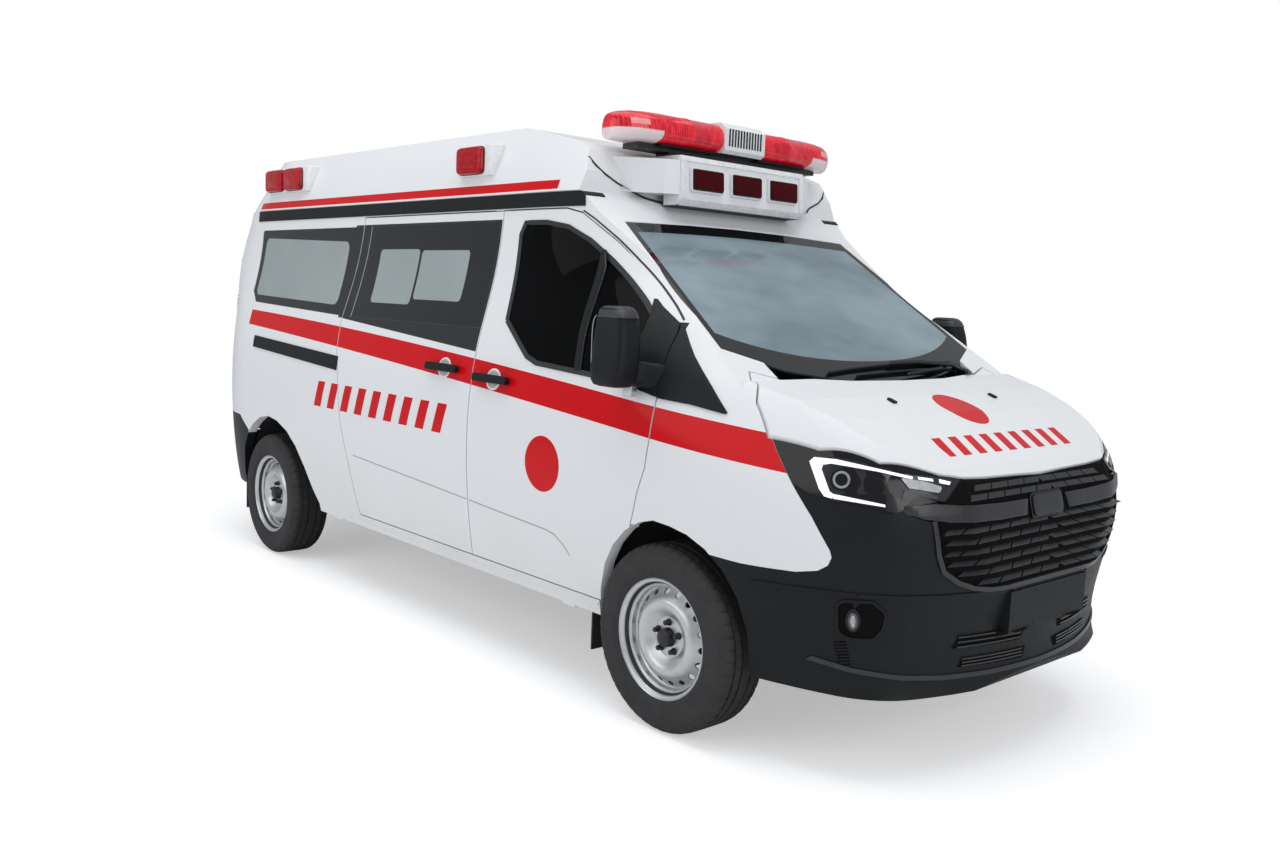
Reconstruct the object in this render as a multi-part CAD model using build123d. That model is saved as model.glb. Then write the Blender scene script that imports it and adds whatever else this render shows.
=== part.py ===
from build123d import *
import math
import os

os.makedirs("parts", exist_ok=True)

# Driving sizes in millimetres, X forward, Y left, Z up, wheels on Z 0
WHEELBASE = 3300
FRONT_AXLE_X = 1710
REAR_AXLE_X = FRONT_AXLE_X - WHEELBASE
WHEEL_Y = 868
TYRE_R = 343
TYRE_W = 215
RIM_R = 206
HUB_Z = TYRE_R
PANEL_GAP = 6
FIT = 0.3
WALL = 50
SKIN = 26
GLASS_T = 5
SILL_Z = 340
ROOF_Z = 1975
WASTE_Z = 720
SCREEN_BASE = (1955, 1268)
SCREEN_TOP = (1065, 1890)
SEAM_B_X = 480


# Section radii of the body outline seen from above: nose, front corner, side taper
NOSE_R = (1750, 310, 1800)
TAIL_R = (2500, 300, 900)


def chain(x_end, half, share, radii, inset, sign):
    """Three tangent arcs from the centre line to the flat side, as points."""
    r1, r2, r3 = [r - inset for r in radii]
    half = half - inset
    x_end = x_end - sign * inset
    sin2 = (half - r3 - (r1 - r2) * share) / (r2 - r3)
    a1 = math.asin(share)
    a2 = math.asin(sin2)
    c1 = (x_end - sign * r1, 0)

    def on(c, r, a):
        return (c[0] + sign * r * math.cos(a), c[1] + r * math.sin(a))

    p0 = (x_end, 0)
    m1 = on(c1, r1, a1 / 2)
    p1 = on(c1, r1, a1)
    c2 = (p1[0] - sign * r2 * math.cos(a1), p1[1] - r2 * math.sin(a1))
    m2 = on(c2, r2, (a1 + a2) / 2)
    p2 = on(c2, r2, a2)
    c3 = (p2[0] - sign * r3 * math.cos(a2), p2[1] - r3 * math.sin(a2))
    m3 = on(c3, r3, (a2 + math.pi / 2) / 2)
    p3 = on(c3, r3, math.pi / 2)
    return [p0, m1, p1, m2, p2, m3, p3]


def plan_face(z, half, nose, tail, nose_share, tail_share, inset):
    """Outline of the body at one height."""
    n = chain(nose, half, nose_share, NOSE_R, inset, 1)
    t = chain(tail, half, tail_share, TAIL_R, inset, -1)
    up = n + t[::-1]
    down = [(x, -y) for x, y in up]
    with BuildSketch(Plane.XY.offset(z)) as s:
        with BuildLine():
            for q in (up, down[::-1]):
                ThreePointArc(q[0], q[1], q[2])
                ThreePointArc(q[2], q[3], q[4])
                ThreePointArc(q[4], q[5], q[6])
                Line(q[6], q[7])
                ThreePointArc(q[7], q[8], q[9])
                ThreePointArc(q[9], q[10], q[11])
                ThreePointArc(q[11], q[12], q[13])
        make_face()
    return s.sketch


# Body sections: height, half width, nose X, tail X, nose share, tail share
BODY_SECTIONS = [
    (200, 905, 2745, -2610, 0.34, 0.22),
    (620, 978, 2676, -2650, 0.38, 0.25),
    (1000, 993, 2668, -2664, 0.38, 0.25),
    (1300, 955, 2330, -2655, 0.36, 0.25),
    (2000, 826, 1750, -2625, 0.25, 0.20),
]
# Raised roof sections in the same columns
ROOF_SECTIONS = [
    (ROOF_Z + FIT, 828, 1770, -2627, 0.25, 0.20),
    (2120, 780, 1700, -2580, 0.18, 0.16),
    (2370, 655, 1640, -2490, 0.10, 0.10),
]


def lofted(rows, inset):
    faces = [plan_face(*row, inset) for row in rows]
    return Solid.make_loft([f.face().outer_wire() for f in faces], False)


def prism_y(points, y0, y1):
    """Solid from a side view outline, given as X, Z points."""
    with BuildSketch(Plane.XZ) as s:
        with BuildLine():
            Polyline(*points, close=True)
        make_face()
    return extrude(s.sketch, amount=-(y1 - y0)).moved(Location((0, y0, 0)))


def prism_z(points, z0, z1):
    """Solid from a plan outline, given as X, Y points."""
    with BuildSketch(Plane.XY.offset(z0)) as s:
        with BuildLine():
            Polyline(*points, close=True)
        make_face()
    return extrude(s.sketch, amount=z1 - z0)


def prism_x(points, x0, x1):
    """Solid from a front view outline, given as Y, Z points."""
    with BuildSketch(Plane.YZ.offset(x0)) as s:
        with BuildLine():
            Polyline(*points, close=True)
        make_face()
    return extrude(s.sketch, amount=x1 - x0)


def block(x0, x1, y0, y1, z0, z1):
    return Pos((x0 + x1) / 2, (y0 + y1) / 2, (z0 + z1) / 2) * Box(x1 - x0, y1 - y0, z1 - z0)


def flip(shape):
    return mirror(shape, about=Plane.XZ)


def clean_solids(shape, least=200.0):
    """Keep only the solids of real size."""
    kept = [s for s in shape.solids() if s.volume > least]
    return Compound(children=kept) if len(kept) > 1 else kept[0]


def save(shape, name):
    if not isinstance(shape, (Solid, Compound)):
        shape = clean_solids(shape)
    shape.label = name
    export_step(shape, "parts/" + name + ".step")


# Side view of the whole body on the centre line: X, Z
LIP_Z = 300
OPEN_Z = -60
NOSE_LOW = [(2625, LIP_Z), (2650, LIP_Z + 30), (2669, LIP_Z + 80), (2669, LIP_Z + 112), (2655, LIP_Z + 130)]
SIDE_TOP = [
    (2668, 520),
    (2660, 700),
    (2634, 890),
    (2600, 1010),
    (2560, 1050),
    (2430, 1122),
    (2290, 1192),
    (2150, 1244),
    (1960, 1292),
    SCREEN_BASE,
    SCREEN_TOP,
    (1010, 1945),
    (975, ROOF_Z),
    (-2700, ROOF_Z),
]
BELLY = [(-2700, SILL_Z), (1900, SILL_Z), (1900, LIP_Z), (2560, LIP_Z)]


def inset_view(points, d):
    with BuildSketch(Plane.XZ) as s:
        with BuildLine():
            Polyline(*points, close=True)
        make_face()
    face = s.sketch
    if d:
        face = offset(face, -d)
    return extrude(face, amount=2200, both=True)


def body_core(d):
    """Whole body below the raised roof, set in by d all round."""
    view = BELLY + NOSE_LOW + SIDE_TOP
    if d:
        view = [(-2700, OPEN_Z), (2560, OPEN_Z)] + NOSE_LOW + SIDE_TOP
        view[-1] = (-2700, ROOF_Z + d)
        view[-2] = (975, ROOF_Z + d)
    return lofted(BODY_SECTIONS, d) & inset_view(view, d)


OUTER = body_core(0)
INNER = body_core(WALL)
THIN = body_core(SKIN)
SHELL = OUTER - INNER
GLASS_OUT = body_core(3)
GLASS_IN = body_core(3 + GLASS_T)
CABIN = body_core(WALL + FIT)
CLEAR = body_core(-FIT)
PROUD = body_core(-5)
G = PANEL_GAP / 2

# Seam between sliding door and rear quarter: X, Z from the top down
SEAM_C = [(-752, 1990), (-756, 1870), (-800, 1390), (-780, 1220), (-740, 1120), (-690, 860), (-620, 660), (-545, 390)]
DOOR_TOP_Z = 1905
DOOR_LOW_Z = 402
# Front edge of the front door: X, Z from the roof down, ending over the wheel arch
SEAM_A = [(985, 1886), (1164, 1775), (1284, 1690), (1401, 1610), (1526, 1522), (1593, 1470), (1608, 1435),
          (1642, 1207), (1640, 1123), (1638, 1060), (1626, 956), (1589, 857), (1572, 790), (1550, 722)]
DOOR_ARCH = [(1590, 690), (1590, DOOR_LOW_Z)]
FRONT_ARCH = [(1352, 200), (1356, 364), (1367, 450), (1402, 558), (1455, 642), (1525, 710), (1604, 754),
              (1679, 774), (1762, 768), (1842, 752), (1920, 716), (1990, 655), (2045, 570), (2078, 460), (2088, 200)]
REAR_ARCH = [(-2010, 200), (-1990, 420), (-1935, 580), (-1855, 681), (-1778, 734), (-1682, 779), (-1566, 798),
             (-1456, 784), (-1331, 738), (-1231, 667), (-1140, 560), (-1063, 443), (-1010, 378), (-1000, 200)]

ARCHES = prism_y(FRONT_ARCH, -1200, 1200) + prism_y(REAR_ARCH, -1200, 1200)
SHELL_CUT = SHELL - ARCHES


def grown(points, d, y0, y1):
    """Side view prism with its outline moved out by d."""
    with BuildSketch(Plane.XZ) as s:
        with BuildLine():
            Polyline(*points, close=True)
        make_face()
    face = offset(s.sketch, d, kind=Kind.INTERSECTION)
    return extrude(face, amount=-(y1 - y0)).moved(Location((0, y0, 0)))


DOOR_FRONT_VIEW = [(SEAM_B_X, DOOR_LOW_Z), (SEAM_B_X, DOOR_TOP_Z), (900, DOOR_TOP_Z)] + SEAM_A + DOOR_ARCH
DOOR_SLIDE_VIEW = [(SEAM_B_X, DOOR_LOW_Z), (SEAM_B_X, DOOR_TOP_Z), (-755, DOOR_TOP_Z)] + SEAM_C[2:-1] + [(-548, DOOR_LOW_Z)]

# Window openings in side view: X, Z
FRONT_WINDOW = [(650, 1439), (622, 1800), (648, 1850), (790, 1849), (915, 1830), (1040, 1775), (1165, 1698),
                (1290, 1615), (1400, 1540), (1490, 1472), (1468, 1262), (1289, 1258), (919, 1278), (847, 1300)]
SLIDE_WINDOW = [(-715, 1398), (-680, 1858), (452, 1858), (452, 1398)]
QUARTER_WINDOW = [(-2003, 1848), (-1990, 1500), (-1920, 1437), (-860, 1400), (-822, 1400), (-790, 1858), (-1990, 1858)]

SIDE_ONLY = prism_x([(870, 100), (870, 1250), (690, 1990), (1300, 1990), (1300, 100)], 400, 1900)
door_front = (SHELL_CUT & SIDE_ONLY) & grown(DOOR_FRONT_VIEW, -G, 500, 1200)
door_front = door_front - prism_y(FRONT_WINDOW, 500, 1200)
door_front = clean_solids(door_front)

# Panes of every window, cut from one thin layer
REAR_WINDOW = [(90, 1380), (90, 1840), (600, 1840), (630, 1380)]
PANE_REAR = [(90.4, 1380.4), (90.4, 1839.6), (599.6, 1839.6), (629.5, 1380.4)]
SCREEN_PLAN = [(1110, -690), (1090, -300), (1085, 0), (1090, 300), (1110, 690), (1780, 795), (1880, 560), (1932, 280),
               (1945, 0), (1932, -280), (1880, -560), (1780, -795)]
SCREEN_ZONE = prism_z(SCREEN_PLAN, 1200, 2100)
pane_zone = grown(FRONT_WINDOW, -FIT, 500, 1200) + prism_y(SLIDE_WINDOW, 500, 1200) + prism_y(QUARTER_WINDOW, 500, 1200)
pane_zone = pane_zone + prism_x(PANE_REAR, -2800, -2400)
pane_zone = pane_zone + (SCREEN_ZONE & block(1000, 2000, -900, 900, 1200, 1960))
panes = (GLASS_OUT & pane_zone) - GLASS_IN
panes = [s for s in panes.solids() if s.volume > 1e4]
screen_glass = [s for s in panes if abs(s.center().Y) < 50][0]
rear_glass = [s for s in panes if s.center().X < -2400][0]
side_panes = sorted([s for s in panes if s.center().Y > 700 and s.center().X > -2400], key=lambda s: s.center().X)
front_glass = side_panes[2]

door_slide = SHELL_CUT & grown(DOOR_SLIDE_VIEW, -G, -1200, -500)
door_slide = clean_solids(door_slide - prism_y(SLIDE_WINDOW, -1200, -500))

# Cab frame: pillars, header above the doors, windscreen opening
FENDER_TOP_Z = 1400
cab_zone = block(SEAM_B_X - 60, 1900, -1200, 1200, FENDER_TOP_Z, ROOF_Z)
door_hole = SIDE_ONLY & grown(DOOR_FRONT_VIEW, G, 500, 1200)
cab_frame = (SHELL_CUT & cab_zone) - door_hole - flip(door_hole) - SCREEN_ZONE
cab_frame = cab_frame - block(SEAM_B_X - 61, SEAM_B_X + 40, -1200, 1200, 1200, DOOR_TOP_Z)
cab_frame = clean_solids(cab_frame)

# Side walls behind the doors
REAR_DOOR_Y = 700
REAR_DOOR_LOW = 600
BUMPER_R_VIEW = [(-2800, 765), (-1975, 765), (-1857, 684), (-1900, 600), (-1960, 480), (-1990, 200), (-2800, 200)]
rear_zone = block(-2700, -2497, -REAR_DOOR_Y - G, REAR_DOOR_Y + G, REAR_DOOR_LOW - G, DOOR_TOP_Z + G)
side_all = (SHELL_CUT & block(-2800, SEAM_B_X - 60, 0, 1200, SILL_Z, ROOF_Z)) - rear_zone
side_all = side_all - prism_y(BUMPER_R_VIEW, -1300, 1300)
side_all = side_all & (block(-2800, SEAM_B_X, 700, 1200, 0, ROOF_Z) + block(-2800, -2300, 0, 1200, 0, ROOF_Z))
side_left = side_all + (SHELL_CUT & block(SEAM_B_X - 60, SEAM_B_X - G, 700, 1200, DOOR_LOW_Z, DOOR_TOP_Z))
side_left = side_left - prism_y(SLIDE_WINDOW, 500, 1200) - prism_y(QUARTER_WINDOW, 500, 1200)
sill = SHELL_CUT & block(-2000, 1700, 700, 1200, SILL_Z, DOOR_LOW_Z - G)
sill = sill & block(-700, 1352, 0, 1200, 0, 500)
# Jacking pads under the sill
JACK_X = (1150, -800)
for jack_x in JACK_X:
    sill = sill + block(jack_x - 40, jack_x + 40, 885, 935, SILL_Z - 8, SILL_Z + 20)
side_left = clean_solids(side_left + sill)
side_right = flip(side_all) - grown(DOOR_SLIDE_VIEW, G, -1200, -500) - prism_y(QUARTER_WINDOW, -1200, -500)
side_right = clean_solids(side_right + flip(sill))

# Front end, cut from one skin. Hood edge on the right half: X, Y, Z from the windscreen round to the nose
HOOD_EDGE = [(1998, 0, 1285), (1988, 300, 1287), (1938, 600, 1296), (1884, 756, 1313), (2029, 867, 1227), (2116, 893, 1131),
             (2283, 838, 1100), (2448, 741, 1070), (2555, 566, 1035), (2584, 492, 1024), (2592, 360, 1018), (2600, 0, 1012)]
# The hood's rim leans forward, along the way its front edge rises about the hinge
HOOD_LEAN = 0.45
HOOD_LOW_Z = 900
HOOD_UNDER = [(1800, 1500), (1800, 1262), (1884, 1240), (2029, 1160), (2116, 1082), (2283, 1052), (2448, 1020), (2555, 975),
              (2600, 950), (2760, 950), (2760, 1500)]
HOOD_GAP = 3.5


def hood_prism(d):
    """Leaning prism over the hood's outline, grown by d."""
    side = [(x - HOOD_LEAN * (z - HOOD_LOW_Z), y) for x, y, z in HOOD_EDGE]
    outline = side + [(x, -y) for x, y in side[1:-1][::-1]]
    with BuildSketch(Plane.XY.offset(HOOD_LOW_Z)) as sk:
        with BuildLine():
            Polyline(*outline, close=True)
        make_face()
    face = offset(sk.sketch, d, kind=Kind.INTERSECTION)
    slope = math.hypot(HOOD_LEAN, 1)
    leaning = extrude(face, amount=600 * slope, dir=(HOOD_LEAN / slope, 0, 1 / slope))
    under = prism_y([(x, z - (d if z < 1400 else 0)) for x, z in HOOD_UNDER], -1200, 1200)
    return leaning & under


# Lamp and grille outlines seen from the front: Y, Z
LAMP_FRONT = [(1000, 1200), (888, 1160), (837, 1125), (740, 1092), (565, 1055), (470, 1045), (470, 1030), (500, 1013), (569, 957),
              (645, 950), (716, 930), (758, 919), (796, 934), (841, 943), (877, 957), (895, 985), (1000, 1000)]
LAMP_SIDE = [(2060, 1210), (2223, 985), (2285, 900), (2800, 900), (2800, 1210)]
GRILLE_HALF = [(480, 1050), (492, 1030), (560, 966), (640, 954), (722, 924), (656, 900), (612, 888), (604, 836), (592, 787),
               (567, 736), (504, 697), (435, 674), (366, 664)]
GRILLE_FRONT = GRILLE_HALF + [(-y, z) for y, z in GRILLE_HALF[::-1]]
# Edge of the painted wing against the bumper: X, Z
WING_EDGE = [(1900, 701), (2061, 692), (2134, 693), (2254, 697), (2325, 712), (2357, 734), (2368, 762), (2362, 785), (2300, 885),
             (2223, 985), (2090, 1168)]
BUMPER_F_VIEW = WING_EDGE + [(2800, 1168), (2800, 100), (1900, 100)]


def zone_grown(points, d, x0, x1):
    with BuildSketch(Plane.YZ.offset(x0)) as s:
        with BuildLine():
            Polyline(*points, close=True)
        make_face()
    return extrude(offset(s.sketch, d, kind=Kind.INTERSECTION), amount=x1 - x0)


front_zone = block(1500, 2800, -1200, 1200, LIP_Z, FENDER_TOP_Z) - door_hole - flip(door_hole)
front_zone = front_zone - prism_y(FRONT_ARCH, -1200, 1200) - block(1400, 1620, -1200, 1200, 0, 740)
FRONT_CUT = (OUTER & front_zone) - THIN
hood = clean_solids(FRONT_CUT & hood_prism(-HOOD_GAP), 1e5)
hood_room = hood_prism(HOOD_GAP)
lamp_zone = prism_x(LAMP_FRONT, 2000, 2800) & prism_y(LAMP_SIDE, 0, 1300)
lamp_big = zone_grown(LAMP_FRONT, 1, 2000, 2800) & grown(LAMP_SIDE, 1, 0, 1300)
lamp_big = lamp_big + flip(lamp_big)
skin_left = FRONT_CUT - hood_room - lamp_big
bumper_zone = prism_y(BUMPER_F_VIEW, -1300, 1300)
fenders = skin_left - prism_y([(x, z + (FIT if z < 700 else 0)) for x, z in BUMPER_F_VIEW], -1300, 1300)
fenders = fenders - grown(BUMPER_F_VIEW, 1, -1300, 1300) - SCREEN_ZONE
fenders = fenders & (block(1300, 2800, 640, 1300, 300, 1400) + block(1300, 2800, -1300, -640, 300, 1400))
fenders = clean_solids(fenders, 1e5)
headlamp = (OUTER & lamp_zone) - CABIN - hood_room
headlamp = clean_solids(headlamp, 1e5)
headlamps = Compound(children=[headlamp, flip(headlamp)])
grille = (GLASS_OUT & prism_x(GRILLE_FRONT, 2400, 2800)) - INNER
grille = clean_solids(grille - hood_room - lamp_big, 1e5)
front_bumper = (skin_left & bumper_zone) - zone_grown(GRILLE_FRONT, 1, 2300, 2800)
# Plate bracket pad with four screw holes
PLATE_X = 2670
PLATE_Z = 560
pad = block(2600, PLATE_X, -262, 262, 488, 632) - THIN
front_bumper = front_bumper + pad
for hole_y in (-98, 98):
    for hole_z in (-55, 55):
        screw = Pos(2640, hole_y, PLATE_Z + hole_z) * Rot(0, 90, 0) * Cylinder(3, 120)
        front_bumper = front_bumper - screw
front_bumper = clean_solids(front_bumper, 1e5)

# Rear end
TAIL_LAMP = [(-REAR_DOOR_Y - 40, 960), (-REAR_DOOR_Y - 40, 1500), (-905, 1480), (-930, 1200), (-905, 960)]
tail_zone = zone_grown(TAIL_LAMP, FIT, -2701, -2329)
tail_zone = tail_zone + flip(tail_zone)
tail_lamp = clean_solids((OUTER & prism_x(TAIL_LAMP, -2700, -2330)) - CABIN)
tail_lamps = Compound(children=[tail_lamp, flip(tail_lamp)])
side_left = side_left - tail_zone
side_right = side_right - tail_zone
rear_core = SHELL & block(-2700, -2500, G, REAR_DOOR_Y - G, REAR_DOOR_LOW, DOOR_TOP_Z)
HINGE_X = -2575
HINGE_Y = REAR_DOOR_Y + G
HINGE_Z = [(818, -2535), (1250, -2530), (1700, -2505)]
HINGE_H = 40
door_hinge = []
wall_hinge = []
for hinge_z, leaf_x in HINGE_Z:
    barrel = Pos(HINGE_X, HINGE_Y, hinge_z + HINGE_H / 2) * Cylinder(9, HINGE_H)
    door_hinge = door_hinge + [barrel + block(HINGE_X - 6, leaf_x, 675, HINGE_Y - 3, hinge_z, hinge_z + HINGE_H)]
    low = hinge_z - HINGE_H - FIT
    barrel = Pos(HINGE_X, HINGE_Y, low + HINGE_H / 2) * Cylinder(9, HINGE_H)
    wall_hinge = wall_hinge + [barrel + block(HINGE_X - 6, leaf_x, HINGE_Y + 3, 731, low, low + HINGE_H)]
rear_door = rear_core - prism_x(REAR_WINDOW, -2800, -2400)
for leaf in door_hinge:
    rear_door = rear_door + leaf
rear_door = clean_solids(rear_door)
for leaf in wall_hinge:
    side_left = side_left + leaf
    side_right = side_right + flip(leaf)
rear_bumper = SHELL_CUT & prism_y([(x - FIT, z - FIT) for x, z in BUMPER_R_VIEW], -1300, 1300)
step_bar = SHELL & block(-2800, -2300, -REAR_DOOR_Y - 5, REAR_DOOR_Y + 5, 400, REAR_DOOR_LOW - 12)
rear_bumper = rear_bumper - block(-2800, -2200, -REAR_DOOR_Y - G, REAR_DOOR_Y + G, REAR_DOOR_LOW - 12, 900)
step_pad = block(-2670, -2580, -560, 560, 470, 560)
rear_bumper = clean_solids(rear_bumper + step_bar + step_pad, 1e5)

# Raised roof: shell with a front slope, closed onto the cab header
ROOF_VIEW = [(-2750, ROOF_Z - 60), (972, ROOF_Z - 60), (968, 2060), (930, 2150), (840, 2190), (700, 2222), (540, 2258),
             (310, 2296), (60, 2328), (-200, 2344), (-1400, 2352), (-2200, 2344), (-2750, 2322)]
ROOF_CROWN = [(-1100, 1900), (-1100, 2180), (-760, 2262), (-560, 2300), (-300, 2338), (0, 2356), (300, 2338), (560, 2300),
              (760, 2262), (1100, 2180), (1100, 1900)]
ROOF_T = 45


def roof_solid(d):
    body = lofted(ROOF_SECTIONS, d) & prism_x([(y, z - d) for y, z in ROOF_CROWN], -2800, 1400)
    view = [(x - (d if x > 0 else 0), z - d) for x, z in ROOF_VIEW]
    return body & prism_y(view, -1200, 1200)


roof_shell = roof_solid(0) - roof_solid(ROOF_T)
roof_shell = clean_solids(roof_shell & block(-2800, 1400, -1200, 1200, ROOF_Z, 2500), 1e5)
ceiling = (lofted(ROOF_SECTIONS, ROOF_T) & block(-2580, 940, -740, 740, ROOF_Z, ROOF_Z + 20))
ceiling_hole = block(-2350, 300, -640, 640, ROOF_Z - 10, ROOF_Z + 40)
roof_raised = roof_shell + (ceiling - ceiling_hole)

# Lamp box over the windscreen, with the light bar standing on it
BOX_Y = 397
BOX_FRONT_X = 1110
BOX_TOP_Z = 2152
BOX_LOW_Z = 1948
box_body = prism_y([(1020, BOX_LOW_Z), (1096, BOX_LOW_Z), (1118, BOX_LOW_Z + 20), (1106, BOX_TOP_Z - 10), (1096, BOX_TOP_Z),
                    (880, BOX_TOP_Z), (880, 2120), (1020, 1990)], -BOX_Y, BOX_Y)
box_wing = prism_z([(1112, BOX_Y), (1086, BOX_Y + 60), (1000, 560), (860, 700), (620, 760), (620, 640), (880, 380)], 1990, 2130)
box_wing = box_wing + flip(box_wing)
roof_keep = roof_solid(-FIT)
roof_fill = block(300, 1010, -800, 800, 1900, ROOF_Z + 2)
roof_lamp_box = clean_solids((box_body + box_wing) - roof_keep - roof_fill - CLEAR, 1e5)
BAR_X = 970
BAR_Z = (2190, 2322)
BAR_TIP = 676
BAR_PLAN = [(150, BAR_X - 130, 0), (BAR_TIP - 80, BAR_X - 130, 0)]
bar_half = prism_z([(BAR_X + 128, 128), (BAR_X + 110, BAR_TIP - 110), (BAR_X + 60, BAR_TIP - 20), (BAR_X, BAR_TIP),
                    (BAR_X - 60, BAR_TIP - 20), (BAR_X - 110, BAR_TIP - 110), (BAR_X - 128, 128)], BAR_Z[0], BAR_Z[1])
bar_round = prism_x([(0, BAR_Z[0]), (BAR_TIP - 60, BAR_Z[0]), (BAR_TIP, 2240), (BAR_TIP - 6, 2280), (BAR_TIP - 60, BAR_Z[1]),
                     (0, BAR_Z[1])], BAR_X - 200, BAR_X + 200)
bar_side = prism_y([(BAR_X - 110, BAR_Z[0]), (BAR_X - 132, 2230), (BAR_X - 112, 2300), (BAR_X - 70, BAR_Z[1]),
                    (BAR_X + 70, BAR_Z[1]), (BAR_X + 112, 2300), (BAR_X + 132, 2230), (BAR_X + 110, BAR_Z[0])], 100, 700)
bar_lens_l = (bar_half & bar_round) & bar_side
light_bar_lenses = bar_lens_l + flip(bar_lens_l)
light_bar = prism_y([(BAR_X - 130, BAR_Z[0]), (BAR_X - 130, 2300), (BAR_X - 100, BAR_Z[1]), (BAR_X + 100, BAR_Z[1]),
                     (BAR_X + 132, 2296), (BAR_X + 132, 2205), (BAR_X + 110, BAR_Z[0])], -127.5, 127.5)
light_bar = light_bar + block(BAR_X - 38, BAR_X + 60, -560, 560, 2168, BAR_Z[0])
for foot_y in (-340, 340):
    light_bar = light_bar + block(BAR_X - 30, BAR_X + 50, foot_y - 40, foot_y + 40, BOX_TOP_Z, 2168)

# Lamps on the roof sides: centre X, centre Z, half length
SIDE_LAMPS = [(95, 2158, 82), (-1880, 2162, 72), (-2060, 2162, 72)]
side_lamps = []
roof_proud = roof_solid(-26) - roof_keep
for lamp_x, lamp_z, lamp_h in SIDE_LAMPS:
    unit = block(lamp_x - lamp_h, lamp_x + lamp_h, 600, 830, lamp_z - 62, lamp_z + 62)
    unit = unit & roof_proud
    side_lamps = side_lamps + [unit.solids().sort_by(SortBy.VOLUME)[-1]]
side_lamps = side_lamps + [flip(u) for u in side_lamps]
roof_side_lamps = Compound(children=side_lamps)

# Floor, wheel housings and sills
FLOOR_Z = 500
HOUSING_R = 432
floor_plan = [(-2480, -820), (-2480, 820), (-1700, 930), (1300, 930), (1300, 600), (1850, 600), (1850, -600), (1300, -600),
              (1300, -930), (-1700, -930)]
floor = prism_z(floor_plan, FLOOR_Z, FLOOR_Z + 30) & CABIN
for hx, hy in ((REAR_AXLE_X, 630), (FRONT_AXLE_X, 560)):
    for s in (-1, 1):
        floor = floor - block(hx - 396, hx + 396, s * (hy + 6) if s > 0 else -1000, 1000 if s > 0 else -hy - 6, 300, 620)
for s in (-1, 1):
    rail = block(-2450, 2190, s * 470 - 45, s * 470 + 45, 400, FLOOR_Z)
    floor = floor + rail
for cross_x, cross_y in ((-2300, 690), (-700, 850), (250, 850), (1150, 850)):
    floor = floor + block(cross_x - 40, cross_x + 40, -cross_y, cross_y, 420, FLOOR_Z)
floor_pan = clean_solids(floor, 1e5)

liners = []
for hx, hy, out_y in ((REAR_AXLE_X, 640, 905), (FRONT_AXLE_X, 560, 872)):
    wid = out_y - hy
    drum = Pos(hx, hy + wid / 2, HUB_Z + 20) * Rot(90, 0, 0) * (Cylinder(HOUSING_R, wid) - Pos(0, 0, -6) * Cylinder(HOUSING_R - 6, wid))
    drum = drum & block(hx - 500, hx + 500, 0, 1000, FLOOR_Z + 30 + FIT, 1000)
    liners = liners + [drum]
    liners = liners + [flip(drum)]
arch_liners = Compound(children=[s for d in liners for s in d.solids()])

# Partition and posts between cab and patient compartment
partition_zone = block(395, 420, -1000, 1000, FLOOR_Z + 30 + FIT, ROOF_Z)
bulkhead = (CABIN & partition_zone) - block(380, 430, -420, 420, 1250, 1700)
bulkhead = clean_solids(bulkhead, 1e5)

# Dashboard, wheel and seats
dash = prism_y([(1330, 1160), (1400, 1215), (1560, 1235), (1760, 1232), (1800, 1180), (1800, 900), (1620, 700), (1500, 760),
                (1440, 900), (1350, 1060)], -820, 820)
dash = dash - block(1200, 1900, 545, 1000, 0, 830) - block(1200, 1900, -1000, -545, 0, 830)
dashboard = clean_solids(dash & CABIN, 1e5)
dashboard = dashboard + block(1500, 1800, -300, 300, FLOOR_Z + 30 + FIT, 760)
STEER_AT = (1195, 400, 1105)
STEER_TILT = 62
wheel_ring = Torus(188, 15) + Cylinder(44, 34)
for spoke in (0, 120, 240):
    wheel_ring = wheel_ring + Rot(0, 0, spoke + 90) * Pos(100, 0, -4) * Box(180, 32, 14)
wheel_ring = wheel_ring + Pos(0, 0, -110) * Cylinder(22, 210)
steering_wheel = Pos(*STEER_AT) * Rot(0, -STEER_TILT + 0, 0) * wheel_ring
steering_wheel = steering_wheel - dashboard
steering_wheel = clean_solids(steering_wheel, 1000)

SEAT_BACK_X = 600
seats = []
for seat_y, seat_w in ((400, 500), (-230, 450), (-650, 380)):
    half = seat_w / 2
    base = block(720, 1090, seat_y - half + 40, seat_y + half - 40, FLOOR_Z + 30 + FIT, 760)
    cushion = prism_y([(660, 760), (1160, 780), (1200, 830), (1170, 880), (700, 850)], seat_y - half, seat_y + half)
    back = prism_y([(640, 800), (760, 830), (640, 1440), (560, 1440), (520, 1400)], seat_y - half + 15, seat_y + half - 15)
    head = prism_y([(560, 1440), (600, 1440), (610, 1490), (640, 1500), (600, 1680), (520, 1690), (500, 1640)], seat_y - 130,
                   seat_y + 130)
    seats = seats + [base + cushion + back + head]
cab_seats = Compound(children=[s for b in seats for s in b.solids()])

# Nose carrier behind the bumper and the engine block
nose_panel = block(2225, 2262, -620, 620, 330, 950) + block(2190, 2225, -520, 520, 400, 500)
front_carrier = nose_panel & CABIN
engine_block = block(1880, 2180, -330, 330, 420, 940)
engine_block = engine_block + block(1900, 2150, -425 + FIT, 425 - FIT, 405, 560)
gearbox = block(1500, 1880, -150, 150, 400 - 20, 480)

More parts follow.
